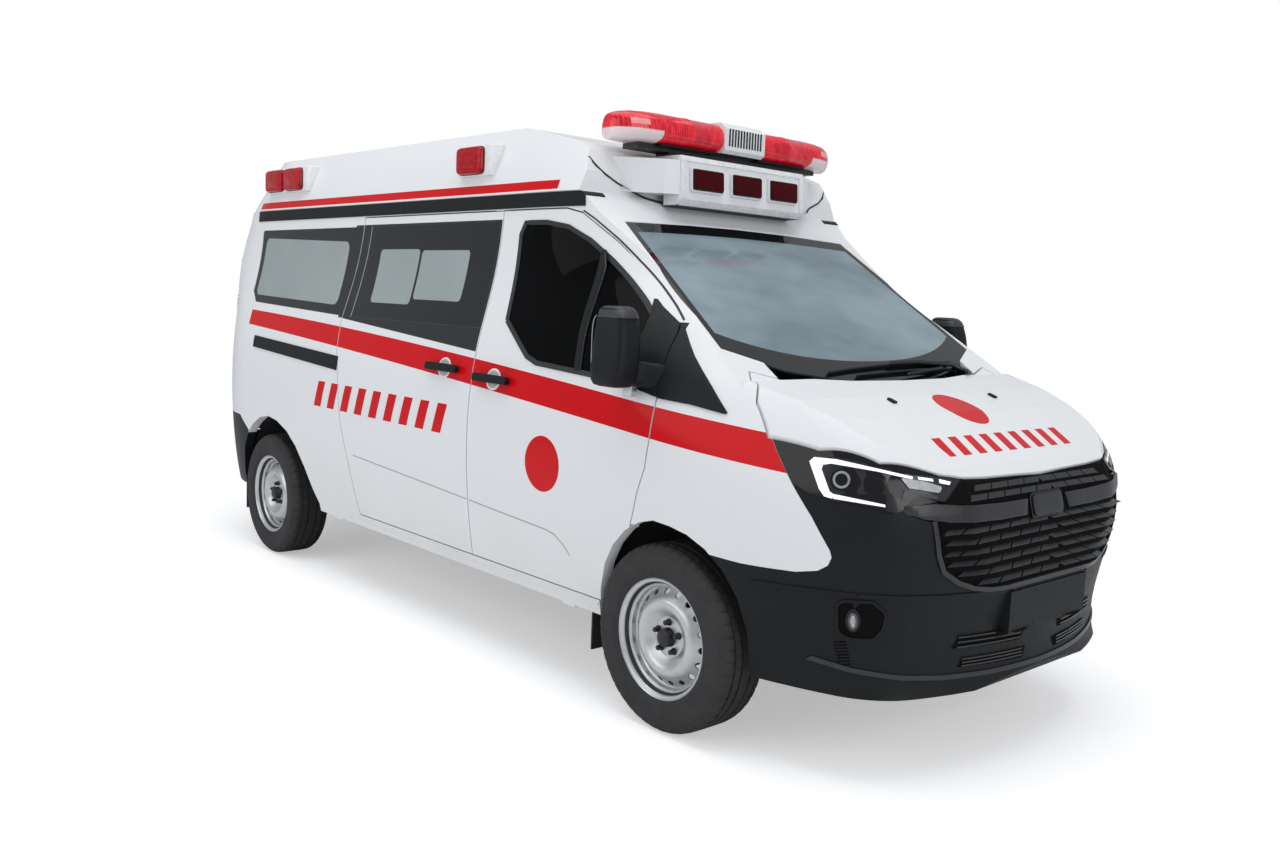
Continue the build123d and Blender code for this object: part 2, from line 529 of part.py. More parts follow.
# Front axle: cross member with arms and struts, knuckles on steering pins inside the wheels
front_axle = block(1640, 1790, -556, 556, 330, 400 - FIT)
PIN_Y = 820
for s in (-1, 1):
    arm = block(1675, 1745, min(s * 500, s * (PIN_Y + 25)), max(s * 500, s * (PIN_Y + 25)), 225, 265 - FIT)
    arm = arm + block(1670, 1750, min(s * 500, s * 545), max(s * 500, s * 545), 225, 400 - FIT)
    tower = Pos(FRONT_AXLE_X, s * 715, 620) * Cylinder(18, 320)
    tower = tower + block(1690, 1730, min(s * 700, s * (PIN_Y + 25)), max(s * 700, s * (PIN_Y + 25)), 445 + FIT, 468)
    tower = tower + block(1680, 1740, min(s * 566, s * 740), max(s * 566, s * 740), 765, 782)
    tower = tower + block(1680, 1740, min(s * 566, s * 586), max(s * 566, s * 586), 360, 782)
    tower = tower + block(1680, 1740, min(s * 540, s * 586), max(s * 540, s * 586), 340, 390)
    front_axle = front_axle + arm + tower
knuckles = []
for s in (-1, 1):
    post = Pos(FRONT_AXLE_X, s * PIN_Y, 355) * Cylinder(32, 180)
    post = post + Pos(FRONT_AXLE_X, s * (PIN_Y + 59), HUB_Z) * Rot(90, 0, 0) * Cylinder(30, 122)
    post = post + Pos(FRONT_AXLE_X, s * (WHEEL_Y - 2), HUB_Z) * Rot(90, 0, 0) * Cylinder(54, 16)
    knuckles = knuckles + [post]

# Rear axle beam on leaf springs with hangers
rear_axle = Pos(REAR_AXLE_X, 0, HUB_Z) * Rot(90, 0, 0) * Cylinder(42, 1500)
for s in (-1, 1):
    rear_axle = rear_axle + Pos(REAR_AXLE_X, s * 800, HUB_Z) * Rot(90, 0, 0) * Cylinder(30, 170)
    spring = prism_y([(-2250, 385), (-1900, 318), (-1590, 300), (-1280, 318), (-930, 385), (-930, 400 - FIT), (-960, 400 - FIT),
                      (-1280, 334), (-1590, 318), (-1900, 334), (-2220, 400 - FIT), (-2250, 400 - FIT)], s * 470 - 35, s * 470 + 35)
    rear_axle = rear_axle + spring

fuel_tank = block(-560, 60, 150, 425 - FIT, 250, 420 - FIT)
exhaust = block(-950, -300, -330, -160, 290, 405) + block(-630, -570, -275, -215, 400, FLOOR_Z - FIT)
exhaust = exhaust + Pos(600, -245, 350) * Rot(0, 90, 0) * Cylinder(28, 1900)
exhaust = exhaust + block(1525, 1555, -262, -228, 350, FLOOR_Z - FIT)

# Mud flaps behind each wheel, hung from the sill
flaps = []
for flap_x, top_z in ((1300, SILL_Z - FIT), (-2000, SILL_Z - FIT)):
    flap = block(flap_x - 4, flap_x + 4, 765, 935, 190, top_z)
    flaps = flaps + [flap, flip(flap)]
mud_flaps = Compound(children=flaps)

# Wheels: steel disc and rim with hub bore, tyre round it
RIM_HALF = 92
SPINDLE_R = 30


def revolve_y(points):
    """Ring from a section given as radius, Y offset."""
    with BuildSketch(Plane.XY) as s:
        with BuildLine():
            Polyline(*points, close=True)
        make_face()
    return Rot(0, 0, 0) * revolve(s.sketch, axis=Axis.Y, revolution_arc=360)


rim_section = [(SPINDLE_R + FIT, 10), (SPINDLE_R + FIT, 72), (62, 72), (80, 52), (105, 46), (150, 60), (172, 46), (184, 30),
               (190, 84), (206, 92), (219, 96), (219, 88), (206, 84), (196, 72), (190, -60), (206, -84), (219, -88),
               (219, -96), (204, -92), (184, -70), (178, 22), (166, 36), (150, 48), (100, 34), (70, 36), (58, 10)]
rim = revolve_y(rim_section)
for k in range(18):
    hole = Rot(0, 20 * k, 0) * Pos(164, 40, 0) * Rot(90, 0, 0) * Cylinder(11, 60)
    rim = rim - hole
tyre_section = [(206.5, -83), (219.5, -87.5), (220, -97), (250, -104), (290, -107), (320, -100), (338, -84), (TYRE_R, -60), (TYRE_R, 60),
                (338, 84), (320, 100), (290, 107), (250, 104), (220, 97), (219.5, 87.5), (206.5, 83), (196.9, 71.4), (190.9, -59.5)]
tyre = revolve_y(tyre_section)
WHEELS = [("front_left", FRONT_AXLE_X, 1), ("front_right", FRONT_AXLE_X, -1), ("rear_left", REAR_AXLE_X, 1),
          ("rear_right", REAR_AXLE_X, -1)]
wheel_nodes = {}
for wheel_name, wheel_x, s in WHEELS:
    turn = Rot(0, 0, 0) if s > 0 else Rot(0, 0, 180)
    place = Pos(wheel_x, s * WHEEL_Y, HUB_Z) * turn
    wheel_nodes["wheel_rim_" + wheel_name] = place * rim
    wheel_nodes["tyre_" + wheel_name] = place * tyre

# Mirrors on the front doors: foot on the door, arm, and a head that leans in at its outer edge
mirror_foot = prism_y([(1482, 1258), (1486, 1336), (1560, 1338), (1612, 1296), (1626, 1240)], 880, 985)
mirror_arm = prism_z([(1490, 930), (1575, 930), (1568, 985), (1545, 1060), (1470, 1060), (1486, 985)], 1268, 1330)
MIRROR_FRONT = [(1004, 1340), (1004, 1585), (1016, 1598), (1082, 1598), (1100, 1588), (1120, 1500), (1135, 1400), (1135, 1318),
                (1122, 1280), (1100, 1264), (1030, 1264), (1018, 1280), (1018, 1340)]
MIRROR_SIDE = [(1436, 1255), (1436, 1610), (1490, 1610), (1528, 1575), (1548, 1500), (1550, 1330), (1532, 1280), (1500, 1255)]
mirror_head = prism_x(MIRROR_FRONT, 1430, 1560) & prism_y(MIRROR_SIDE, 900, 1200)
mirror_left = (mirror_foot + mirror_arm + mirror_head) - CLEAR
mirror_left = clean_solids(mirror_left, 1e5)

# Wipers and cowl under the windscreen
cowl = prism_z([(1830, 0), (1830, 770), (1905, 770), (1965, 600), (1990, 300), (1990, 0)], 1150, 1330)
cowl = cowl + flip(cowl)
cowl = (THIN & cowl) - hood_room - SCREEN_ZONE - prism_z([(1700, -600), (1700, 600), (1945, 600), (1945, -600)], 1255, 1400)
cowl = clean_solids(cowl, 1e5)

# Black strip under the raised roof and rail channel on the right rear side
strip = (PROUD & block(-2080, 1000, 700, 1000, 1912, 1972)) - CLEAR
rail = (PROUD & prism_y([(-1806, 1180), (-754, 1122), (-754, 1193), (-1806, 1245)], -1200, -700)) - CLEAR
side_trim = Compound(children=strip.solids() + flip(strip).solids() + rail.solids())

pieces = {
    "roof_raised": roof_raised,
    "roof_lamp_box": roof_lamp_box,
    "light_bar": light_bar,
    "light_bar_lenses": light_bar_lenses,
    "roof_side_lamps": roof_side_lamps,
    "side_wall_left": side_left,
    "side_wall_right": side_right,
    "sliding_door": door_slide,
    "cab_frame": cab_frame,
    "front_door_left": door_front,
    "front_door_right": flip(door_front),
    "front_door_glass_left": front_glass,
    "front_door_glass_right": flip(front_glass),
    "rear_door_left": rear_door,
    "rear_door_right": flip(rear_door),
    "rear_door_glass_left": rear_glass,
    "rear_door_glass_right": flip(rear_glass),
    "hood": hood,
    "front_wings": fenders,
    "headlamps": headlamps,
    "grille": grille,
    "front_bumper": front_bumper,
    "rear_bumper": rear_bumper,
    "tail_lamps": tail_lamps,
    "floor_pan": floor_pan,
    "arch_liners": arch_liners,
    "bulkhead": bulkhead,
    "dashboard": dashboard,
    "steering_wheel": steering_wheel,
    "cab_seats": cab_seats,
    "front_carrier": front_carrier,
    "engine_block": engine_block,
    "front_axle": front_axle,
    "knuckle_right": knuckles[0],
    "knuckle_left": knuckles[1],
    "rear_axle": rear_axle,
    "fuel_tank": fuel_tank,
    "exhaust": exhaust,
    "mud_flaps": mud_flaps,
    "mirror_left": mirror_left,
    "mirror_right": flip(mirror_left),
    "cowl": cowl,
    "side_trim": side_trim,
}
pieces["body_glass"] = Compound(children=side_panes[:2] + [flip(s) for s in side_panes[:2]] + [screen_glass])
pieces.update(wheel_nodes)
for piece_name in pieces:
    save(pieces[piece_name], piece_name)
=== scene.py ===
import math
import bmesh
import bpy
import numpy as np
from mathutils import Matrix, Vector
from mathutils.bvhtree import BVHTree


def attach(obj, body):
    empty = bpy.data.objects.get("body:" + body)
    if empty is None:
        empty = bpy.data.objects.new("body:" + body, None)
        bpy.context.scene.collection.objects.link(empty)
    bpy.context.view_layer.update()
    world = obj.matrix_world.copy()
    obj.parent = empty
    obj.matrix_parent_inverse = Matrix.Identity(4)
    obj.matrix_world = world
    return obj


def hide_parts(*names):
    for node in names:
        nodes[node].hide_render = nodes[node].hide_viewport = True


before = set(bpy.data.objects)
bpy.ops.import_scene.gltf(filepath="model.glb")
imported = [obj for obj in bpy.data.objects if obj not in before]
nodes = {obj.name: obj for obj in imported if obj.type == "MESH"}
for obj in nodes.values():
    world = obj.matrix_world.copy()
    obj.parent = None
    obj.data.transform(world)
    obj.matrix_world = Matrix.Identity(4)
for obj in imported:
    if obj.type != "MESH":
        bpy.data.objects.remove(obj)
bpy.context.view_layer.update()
scene = bpy.context.scene
scene.view_settings.view_transform = "Standard"


def add_object(name, data):
    ob = bpy.data.objects.new(name, data)
    scene.collection.objects.link(ob)
    return ob


# --- camera at the photo's viewing angle
FOCAL_PX = 1109.8  # the lens below in pixels of the 1280 x 853 frame
CENTRE_PX = (640.0, 426.5)
CAM_AT = Vector((4.509, -3.636, 1.556))
YAW, PITCH, ROLL = math.radians(47.825), math.radians(6.607), math.radians(2.467)
sight = Vector((-math.sin(YAW) * math.cos(PITCH), math.cos(YAW) * math.cos(PITCH), -math.sin(PITCH)))
level = Vector((math.cos(YAW), math.sin(YAW), 0.0))
upright = level.cross(sight)
cam_right = level * math.cos(ROLL) + upright * math.sin(ROLL)
cam_up = -level * math.sin(ROLL) + upright * math.cos(ROLL)
cam_data = bpy.data.cameras.new("camera")
cam_data.lens = 31.21
cam_data.sensor_width = 36.0
cam_data.clip_end = 200
cam = add_object("camera", cam_data)
m = Matrix((cam_right, cam_up, -sight)).transposed().to_4x4()
m.translation = CAM_AT
cam.matrix_world = m
scene.camera = cam

# --- shader helpers
SOFT = 0.0006  # width of a crisp mask edge, metres


class Val:
    """A value in a node tree. Arithmetic on it adds Math nodes."""

    def __init__(self, mat, socket):
        self.mat, self.socket = mat, socket

    def __add__(self, other):
        return self.mat.math("ADD", self, other)

    def __sub__(self, other):
        return self.mat.math("SUBTRACT", self, other)

    def __rsub__(self, other):
        return self.mat.math("SUBTRACT", other, self)

    def __mul__(self, other):
        return self.mat.math("MULTIPLY", self, other)

    def __abs__(self):
        return self.mat.math("ABSOLUTE", self)


class Mat:
    """A material under construction, in the piece's own coordinates, or the world."""

    def __init__(self, name, world=False):
        self.m = (bpy.data.worlds if world else bpy.data.materials).new(name)
        self.m.use_nodes = True
        self.t = self.m.node_tree
        self.t.nodes.clear()
        self.out = self.node("OutputWorld" if world else "OutputMaterial")
        self.co = self.node("TexCoord")
        self.x, self.y, self.z = self.split("Object")

    def node(self, kind, **kw):
        n = self.t.nodes.new("ShaderNode" + kind)
        for k, v in kw.items():
            setattr(n, k, v)
        return n

    def split(self, space):
        """Coordinates or normal of the surface, as three values."""
        n = self.node("SeparateXYZ")
        self.t.links.new(self.co.outputs[space], n.inputs[0])
        return [Val(self, s) for s in n.outputs]

    def feed(self, socket, v):
        """Give a socket a number, a colour or a value."""
        if isinstance(v, Val):
            self.t.links.new(v.socket, socket)
        else:
            socket.default_value = (*v, 1) if isinstance(v, tuple) else v

    def make(self, kind, *values, **props):
        """First output of a node whose first inputs take the values."""
        n = self.node(kind, **props)
        for socket, v in zip(n.inputs, values):
            self.feed(socket, v)
        return Val(self, n.outputs[0])

    def math(self, op, *values, clamp=False):
        return self.make("Math", *values, operation=op, use_clamp=clamp)

    def step(self, v, edge, soft=SOFT):
        """0 below the edge, 1 above it."""
        return self.math("MULTIPLY_ADD", v - edge, 1.0 / soft, 0.5, clamp=True)

    def below(self, v, edge, soft=SOFT):
        return 1.0 - self.step(v, edge, soft)

    def band(self, v, lo, hi, soft=SOFT):
        return self.step(v, lo, soft) * self.below(v, hi, soft)

    def disc(self, u, v, r, soft=SOFT):
        """1 within the radius about u = v = 0."""
        return self.below(self.math("SQRT", u * u + v * v), r, soft)

    def rounded(self, u, v, cu, cv, hu, hv, r):
        """1 inside a rounded rectangle."""
        au = self.math("MAXIMUM", abs(u - cu) - (hu - r), 0.0)
        av = self.math("MAXIMUM", abs(v - cv) - (hv - r), 0.0)
        return self.disc(au, av, r, 0.002)

    def add(self, *masks):
        total = masks[0]
        for v in masks[1:]:
            total = self.math("ADD", total, v, clamp=True)
        return total

    def mix(self, fac, a, b):
        n = self.node("Mix", data_type="RGBA")
        for i, v in ((0, fac), (6, a), (7, b)):
            self.feed(n.inputs[i], v)
        return Val(self, n.outputs[2])

    def noise(self, scale, detail=3.0, rough=0.55, stretch=None):
        n = self.node("TexNoise")
        for key, v in (("Scale", scale), ("Detail", detail), ("Roughness", rough)):
            n.inputs[key].default_value = v
        place = self.co.outputs["Object"]
        if stretch:
            mapping = self.node("Mapping")
            mapping.inputs["Scale"].default_value = stretch
            self.t.links.new(place, mapping.inputs[0])
            place = mapping.outputs[0]
        self.t.links.new(place, n.inputs["Vector"])
        return Val(self, n.outputs[0])

    def ramp(self, v, lo, hi, a, b):
        """Map v from lo..hi to a..b."""
        return self.make("MapRange", v, lo, hi, a, b)

    def bump(self, height, strength, dist):
        return self.shader("Bump", Strength=strength, Distance=dist, Height=height)

    def shader(self, kind, **inputs):
        n = self.node(kind)
        for key, v in inputs.items():
            self.feed(n.inputs[key.replace("_", " ")], v)
        return Val(self, n.outputs[0])

    def blend(self, fac, a, b):
        return self.make("MixShader", fac, a, b)

    def seen(self):
        """1 for what the camera sees, straight or through glass."""
        path = self.node("LightPath").outputs
        return self.math("MAXIMUM", Val(self, path["Is Camera Ray"]), Val(self, path["Is Transmission Ray"]))

    def surface(self, v):
        """Use the shader for the whole surface, or for the world."""
        self.feed(self.out.inputs[0], v)
        return self.m

    def principled(self, color, rough, metallic=0.0, normal=None, **kw):
        if normal is not None:
            kw["Normal"] = normal
        return self.surface(self.shader("BsdfPrincipled", Base_Color=color, Roughness=rough, Metallic=metallic, **kw))


def plain(name, color, rough, metallic=0.0, vary=0.06, scale=30.0, bump=0.0, bscale=300.0, dist=0.0005, **kw):
    """A worked finish: colour and roughness wander a little, with a fine surface grain."""
    q = Mat(name)
    lo = tuple(max(0.0, c * (1 - vary)) for c in color)
    hi = tuple(min(1.0, c * (1 + vary)) for c in color)
    col = q.mix(q.ramp(q.noise(scale, 4.0), 0.3, 0.7, 0, 1), lo, hi)
    rg = q.ramp(q.noise(scale * 2.3, 3.0), 0.3, 0.7, max(0.0, rough - 0.05), min(1.0, rough + 0.05))
    grain = q.bump(q.noise(bscale, 2.0), bump, dist) if bump else None
    return q.principled(col, rg, metallic, grain, **kw)


# --- white lacquer and its marks
WHITE = (0.80, 0.815, 0.83)
GRIMY_WHITE = (0.70, 0.69, 0.67)
RED = (0.64, 0.002, 0.006)


def outward(q):
    """1 on the outer face of a side panel, 0 on its inner face."""
    return q.step(q.split("Normal")[1] * q.y, 0.10, 0.01)


def sail_seam(q):
    """Dark band behind the seam of the two sail plates."""
    return q.band(q.x + q.z * 0.1491, 1.804, 1.840) * q.band(q.z, 1.214, 1.474) * q.step(abs(q.y), 0.6)


def side_film(q):
    """Dark film that joins the side windows across the pillar."""
    slant = q.x + q.z * -0.0917
    door = q.step(slant, -0.9262) * q.below(q.x, 0.4735) * q.step(q.z + q.x * 0.0713, 1.3295)
    wall = q.below(slant, -0.9288) * q.step(q.x, -0.845) * q.step(q.z, 1.3885)
    return q.add(door, wall) * q.below(q.z, 1.867) * q.step(abs(q.y), 0.6) * outward(q)


def slanted_bars(q, along, lean, pitch, soft):
    """Stripes across one direction, leaning by the other."""
    return q.band(q.math("FRACT", (along + lean) * (1 / pitch)), 0.10, 0.62, soft)


def side_marks(q):
    """Curved stripe, row of slanted bars and disc on the sides."""
    top = (q.x * -0.00747 + -0.06256) * q.x + 1.2983
    bottom = (q.x * -0.00458 + -0.06968) * q.x + 1.1887
    stripe = (q.step(q.z, bottom) * q.below(q.z, top) * q.step(abs(q.y), 0.55) * q.step(q.x, -1.93)
              * q.below(q.x, 2.35))
    bars = slanted_bars(q, q.x, q.z * -0.35, 0.147, 0.004) * q.band(q.x, -1.00, 0.315) * q.band(q.z, 0.918, 1.052)
    return q.add(stripe, bars, q.disc(q.x - 1.02, q.z - 0.885, 0.112)) * outward(q)


def roof_marks(q):
    """Thin stripe along the raised roof."""
    return q.band(q.z, 1.984, 2.022) * q.band(q.x, -2.08, 0.84)


def hood_marks(q):
    """Disc over a row of slanted bars."""
    bars = slanted_bars(q, q.y, q.x * 0.3, 0.098, 0.006) * q.band(q.y, -0.435, 0.435) * q.band(q.x, 2.418, 2.508)
    return q.add(q.disc(q.x - 2.262, q.y, 0.105), bars)


def paint(name, marks=None, dark=()):
    """White lacquer with red foil marks and dark areas, a little dirt low down."""
    q = Mat(name)
    grime = q.ramp(q.noise(2.2, 5.0, 0.6), 0.35, 0.75, 0, 1)
    col = q.mix(grime * q.ramp(q.z, 0.30, 0.75, 0.55, 0.0), WHITE, GRIMY_WHITE)
    if marks:
        red = q.mix(q.ramp(q.noise(9.0, 3.0), 0.3, 0.7, 0, 1), tuple(c * 0.95 for c in RED), RED)
        col = q.mix(marks(q), col, red)
    for mask, tone in dark:
        col = q.mix(mask(q), col, tone)
    peel = q.bump(q.noise(420.0, 1.0), 0.035, 0.0004)
    rough = q.ramp(q.noise(14.0, 3.0), 0.3, 0.7, 0.20, 0.27)
    return q.principled(col, rough, 0.0, peel, Coat_Weight=0.10, Coat_Roughness=0.05, Specular_IOR_Level=0.12)


# --- glass, lenses, cloth
def glass_mat(name, tint, trans, border=None, overlay=None):
    """Tinted glass, with a pale overlay and a fired black border where these are given; the overlay is a painted sheen
    on the windscreen and a pale tone on the side panes.
    """
    q = Mat(name)
    fresnel = q.shader("Fresnel", IOR=1.52)
    wave = q.ramp(q.noise(1.3, 1.0), 0.3, 0.7, 0.0, 0.02)
    gloss = q.shader("BsdfPrincipled", Base_Color=(0.02, 0.022, 0.024), Roughness=0.02)
    amount = q.math("ADD", fresnel, wave + (1.0 - trans), clamp=True)
    last = q.blend(amount, q.shader("BsdfTransparent", Color=tint), gloss)
    if overlay:
        # diffuse colour laid over the glass: painted reflection on the windscreen, a pale tone on the clear side panes
        tone, amount = overlay(q)
        last = q.blend(amount, last, q.shader("BsdfPrincipled", Base_Color=tone, Roughness=0.04))
    if border:
        black = q.shader("BsdfPrincipled", Base_Color=(0.005, 0.0055, 0.006), Roughness=0.06)
        last = q.blend(border(q), last, black)
    return q.surface(last)


def window_border(q):
    """1 where the side panes and the windscreen are fired black."""
    panes = q.add(q.rounded(q.x, q.z, -0.3720, 1.6095, 0.1880, 0.1325, 0.022),
                  q.rounded(q.x, q.z, 0.042, 1.620, 0.206, 0.116, 0.022),
                  q.rounded(q.x, q.z + q.x * 0.028, -1.426, 1.592, 0.522, 0.166, 0.040))
    y2 = q.y * q.y
    low = q.step(q.x + (y2 * 0.165 + y2 * y2 * 0.15), 1.840, 0.004)
    top = q.below(q.x - y2 * 0.045, 1.145, 0.004)
    slope = 0.1567
    edge = q.step(abs(q.y) - q.x * slope, 0.690 - slope * 1.110 - 0.034, 0.004)
    front = q.step(q.x, 0.9)
    return q.add(low, top, edge) * front + (1.0 - panes) * (1.0 - front)


def rear_border(q):
    return 1.0 - q.rounded(abs(q.y), q.z, 0.352, 1.61, 0.222, 0.195, 0.03)


def pane_tone_and_painted_sheen(q):
    """Pale grey-green tone on the side panes, blue grey painted sheen on the windscreen that stands in for its
    reflection.
    """
    front = q.step(q.x, 0.9)
    wave = q.ramp(q.noise(2.1, 3.0, 0.6, (1.0, 0.6, 1.6)), 0.35, 0.70, 0, 1)
    # painted reflection: blue grey sheen on the windscreen
    sheen = q.mix(wave, (0.26, 0.35, 0.41), (0.47, 0.60, 0.67))
    # pale tone laid over the clear side panes
    side_tone = q.mix(q.ramp(q.noise(1.7, 2.0), 0.3, 0.7, 0, 1), (0.42, 0.49, 0.49), (0.50, 0.57, 0.57))
    return q.mix(front, side_tone, sheen), front * -0.10 + 0.72


def seat_cloth():
    q = Mat("seat_cloth")
    threads = 2600.0
    weave = q.math("SINE", (q.x + q.z) * threads) * q.math("SINE", q.y * threads)
    fleck = q.ramp(q.noise(620.0, 2.0), 0.45, 0.62, 0, 1)
    big = q.ramp(q.noise(7.0, 3.0), 0.35, 0.65, 0, 1)
    col = q.mix(fleck, (0.030, 0.031, 0.035), (0.062, 0.065, 0.074))
    col = q.mix(big * 0.25, col, (0.024, 0.025, 0.028))
    bump = q.bump(weave + q.noise(300.0, 2.0), 0.35, 0.0005)
    return q.principled(col, 0.88, 0.0, bump, Sheen_Weight=0.35, Sheen_Roughness=0.5, Specular_IOR_Level=0.2)


def bar_cover():
    """White cover of the light bar over a dark base rail."""
    q = Mat("bar_cover")
    white = q.mix(q.ramp(q.noise(30.0), 0.3, 0.7, 0, 1), (0.74, 0.75, 0.76), (0.80, 0.81, 0.82))
    col = q.mix(q.below(q.z, 2.1915, 0.001), white, (0.012, 0.012, 0.013))
    return q.principled(col, q.ramp(q.noise(70.0), 0.3, 0.7, 0.26, 0.36))


def bar_lens():
    """Red lens of the light bar: fine ribs with painted highlights, modules inside, a painted highlight near each end,
    clear lower edge towards its end.
    """
    q = Mat("lens_shell")
    ay = abs(q.y)
    rib = q.band(q.math("FRACT", ay * (1 / 0.0135)), 0.0, 0.16, 0.02)
    mottle = q.ramp(q.noise(26.0, 2.0, 0.5, (1.0, 1.6, 1.0)), 0.40, 0.62, 0, 1)
    red = q.mix(mottle, (0.50, 0.0, 0.012), (0.80, 0.012, 0.03))
    # painted highlight: pale pink along the ribs
    red = q.mix(rib * 0.25, red, (0.95, 0.25, 0.27))
    red = q.mix(q.band(ay, 0.20, 0.30, 0.004) * q.band(q.z, 2.215, 2.275, 0.004) * 0.35, red, (0.28, 0.0, 0.006))
    # painted highlight: a pale pink patch high up near each end
    red = q.mix(q.band(ay, 0.545, 0.625, 0.004) * q.band(q.z, 2.255, 2.278, 0.004) * 0.6, red, (0.95, 0.55, 0.55))
    clear = q.below(q.z, 2.238, 0.006) * q.step(ay, 0.475, 0.004)
    glow = q.mix(clear, (0.75, 0.004, 0.02), (0.35, 0.28, 0.28))
    bump = q.bump(rib + q.noise(90.0, 2.0), 0.18, 0.0012)
    return q.principled(q.mix(clear, red, (0.78, 0.66, 0.67)), 0.08, 0.0, bump, Emission_Color=glow,
                        Emission_Strength=0.12)


# --- materials
SEAM_DARK = (sail_seam, (0.008, 0.008, 0.009))
FILM_DARK = (side_film, (0.030, 0.031, 0.032))
PANE_TINT = (0.42, 0.47, 0.48)
M = {
    "white_side": paint("paint_side", side_marks, (SEAM_DARK, FILM_DARK)),
    "white_roof": paint("paint_roof", roof_marks),
    "white_hood": paint("paint_hood", hood_marks),
    "white": paint("paint_plain", None, (SEAM_DARK,)),
    "seat": seat_cloth(),
    "door_glass": glass_mat("door_glass", (0.22, 0.25, 0.25), 0.95),
    "body_glass": glass_mat("body_glass", PANE_TINT, 0.92, window_border, pane_tone_and_painted_sheen),
    "rear_glass": glass_mat("rear_glass", PANE_TINT, 0.92, rear_border, pane_tone_and_painted_sheen),
    "bar_cover": bar_cover(),
    "lens_shell": bar_lens(),
}
# name: colour, roughness, metallic, then what differs from a plain finish
DEEP = dict(bump=0.3, bscale=500, Specular_IOR_Level=0.1)
FINE = dict(bump=0.1, bscale=700, dist=0.0002)
GRAINED = dict(bump=0.2, bscale=900, dist=0.0003)
BLACK_BAR = dict(vary=0.12, bump=0.12, bscale=800, dist=0.0002)
CUT_LENS = dict(scale=60, bump=0.3, bscale=220, dist=0.0006)
for name, color, rough, metal, more in (
    ("black_trim", (0.010, 0.0115, 0.013), 0.44, 0.0, dict(GRAINED, Specular_IOR_Level=0.16)),
    ("black_gloss", (0.005, 0.005, 0.006), 0.10, 0.0, dict(Specular_IOR_Level=0.35)),
    ("underbody", (0.03, 0.03, 0.032), 0.7, 0.0, dict(bump=0.3, bscale=120, dist=0.001)),
    ("liner", (0.018, 0.018, 0.018), 0.85, 0.0, dict(bump=0.4, bscale=500, dist=0.001)),
    ("cabin", (0.06, 0.063, 0.067), 0.6, 0.0, dict(bump=0.3, bscale=700, dist=0.0003)),
    ("cast", (0.16, 0.16, 0.16), 0.6, 0.6, dict(bump=0.4, bscale=200, dist=0.0006)),
    ("exhaust", (0.30, 0.27, 0.24), 0.45, 0.9, dict(vary=0.25, scale=9)),
    ("rubber", (0.02, 0.02, 0.02), 0.7, 0.0, dict(bump=0.3, bscale=400)),
    ("tyre", (0.021, 0.021, 0.022), 0.72, 0.0, dict(vary=0.2, scale=12, bump=0.35)),
    ("steel", (0.58, 0.59, 0.60), 0.34, 0.75, dict(bump=0.08, bscale=400, dist=0.0002)),
    ("red_lens", (0.62, 0.006, 0.018), 0.10, 0.0,
     dict(vary=0.25, scale=38, bump=0.15, bscale=140, dist=0.0006, Specular_IOR_Level=0.5,
          Emission_Color=(0.8, 0.01, 0.03), Emission_Strength=0.10)),
    ("housing", (0.78, 0.79, 0.80), 0.3, 0.0, {}),
    ("nut", (0.02, 0.02, 0.022), 0.45, 0.2, {}),
    ("led", (0.90, 0.92, 0.95), 0.18, 0.0, dict(vary=0.03, scale=60, Emission_Color=(1, 1, 1), Emission_Strength=0.35)),
    ("reflector", (0.34, 0.35, 0.37), 0.30, 0.7, dict(vary=0.15, scale=45, bump=0.3, bscale=160, dist=0.0008)),
    ("lamp_dark", (0.022, 0.024, 0.028), 0.14, 0.2, dict(vary=0.3, scale=25)),
    # painted shade: near-black, darker than the black plastic, standing in for the shade in the grille, fog lamp
    # recesses, vents and intakes
    ("recess_shade", (0.003, 0.003, 0.0035), 0.8, 0.0, DEEP),
    ("satin", (0.018, 0.019, 0.021), 0.30, 0.0, dict(BLACK_BAR, Specular_IOR_Level=0.5)),
    ("blade", (0.014, 0.015, 0.016), 0.32, 0.0, BLACK_BAR),
    ("dark_red", (0.055, 0.0005, 0.003), 0.08, 0.0,
     dict(vary=0.3, scale=60, bump=0.2, bscale=260, dist=0.0006, Specular_IOR_Level=0.10)),
    ("white_part", (0.80, 0.81, 0.82), 0.28, 0.0, dict(FINE, Coat_Weight=0.3)),
    # painted shade: body white darkened for the shaded handle bowl
    ("bowl_shade_grey", (0.44, 0.45, 0.46), 0.35, 0.0, dict(FINE, vary=0.1)),
    # painted shade: grey line standing in for the shade in a body crease
    ("crease_shade", (0.33, 0.34, 0.35), 0.5, 0.0, dict(vary=0.1)),
    ("cap_grey", (0.030, 0.032, 0.035), 0.40, 0.0, GRAINED),
    ("steel_plate", (0.62, 0.63, 0.65), 0.25, 0.9, dict(bump=0.1, bscale=500, dist=0.0003)),
    ("mirror_face", (0.75, 0.77, 0.80), 0.03, 1.0, dict(vary=0.02)),
    ("fog_bowl", (0.10, 0.105, 0.11), 0.25, 0.6, dict(vary=0.3, scale=60)),
    ("fog_glass", (0.42, 0.43, 0.45), 0.12, 0.3, dict(vary=0.35, scale=70, bump=0.3, bscale=200, dist=0.0006)),
    ("side_lens", (0.42, 0.004, 0.012), 0.12, 0.0,
     dict(vary=0.35, scale=45, bump=0.35, bscale=150, dist=0.0008, Specular_IOR_Level=0.25)),
    ("seal", (0.014, 0.014, 0.015), 0.55, 0.0, dict(bump=0.2, bscale=700)),
    ("amber", (0.62, 0.17, 0.012), 0.10, 0.0, dict(CUT_LENS, vary=0.2, Specular_IOR_Level=0.3)),
    ("lens_white", (0.62, 0.63, 0.65), 0.10, 0.0, dict(CUT_LENS, vary=0.15)),
):
    M[name] = plain(name, color, rough, metal, **more)

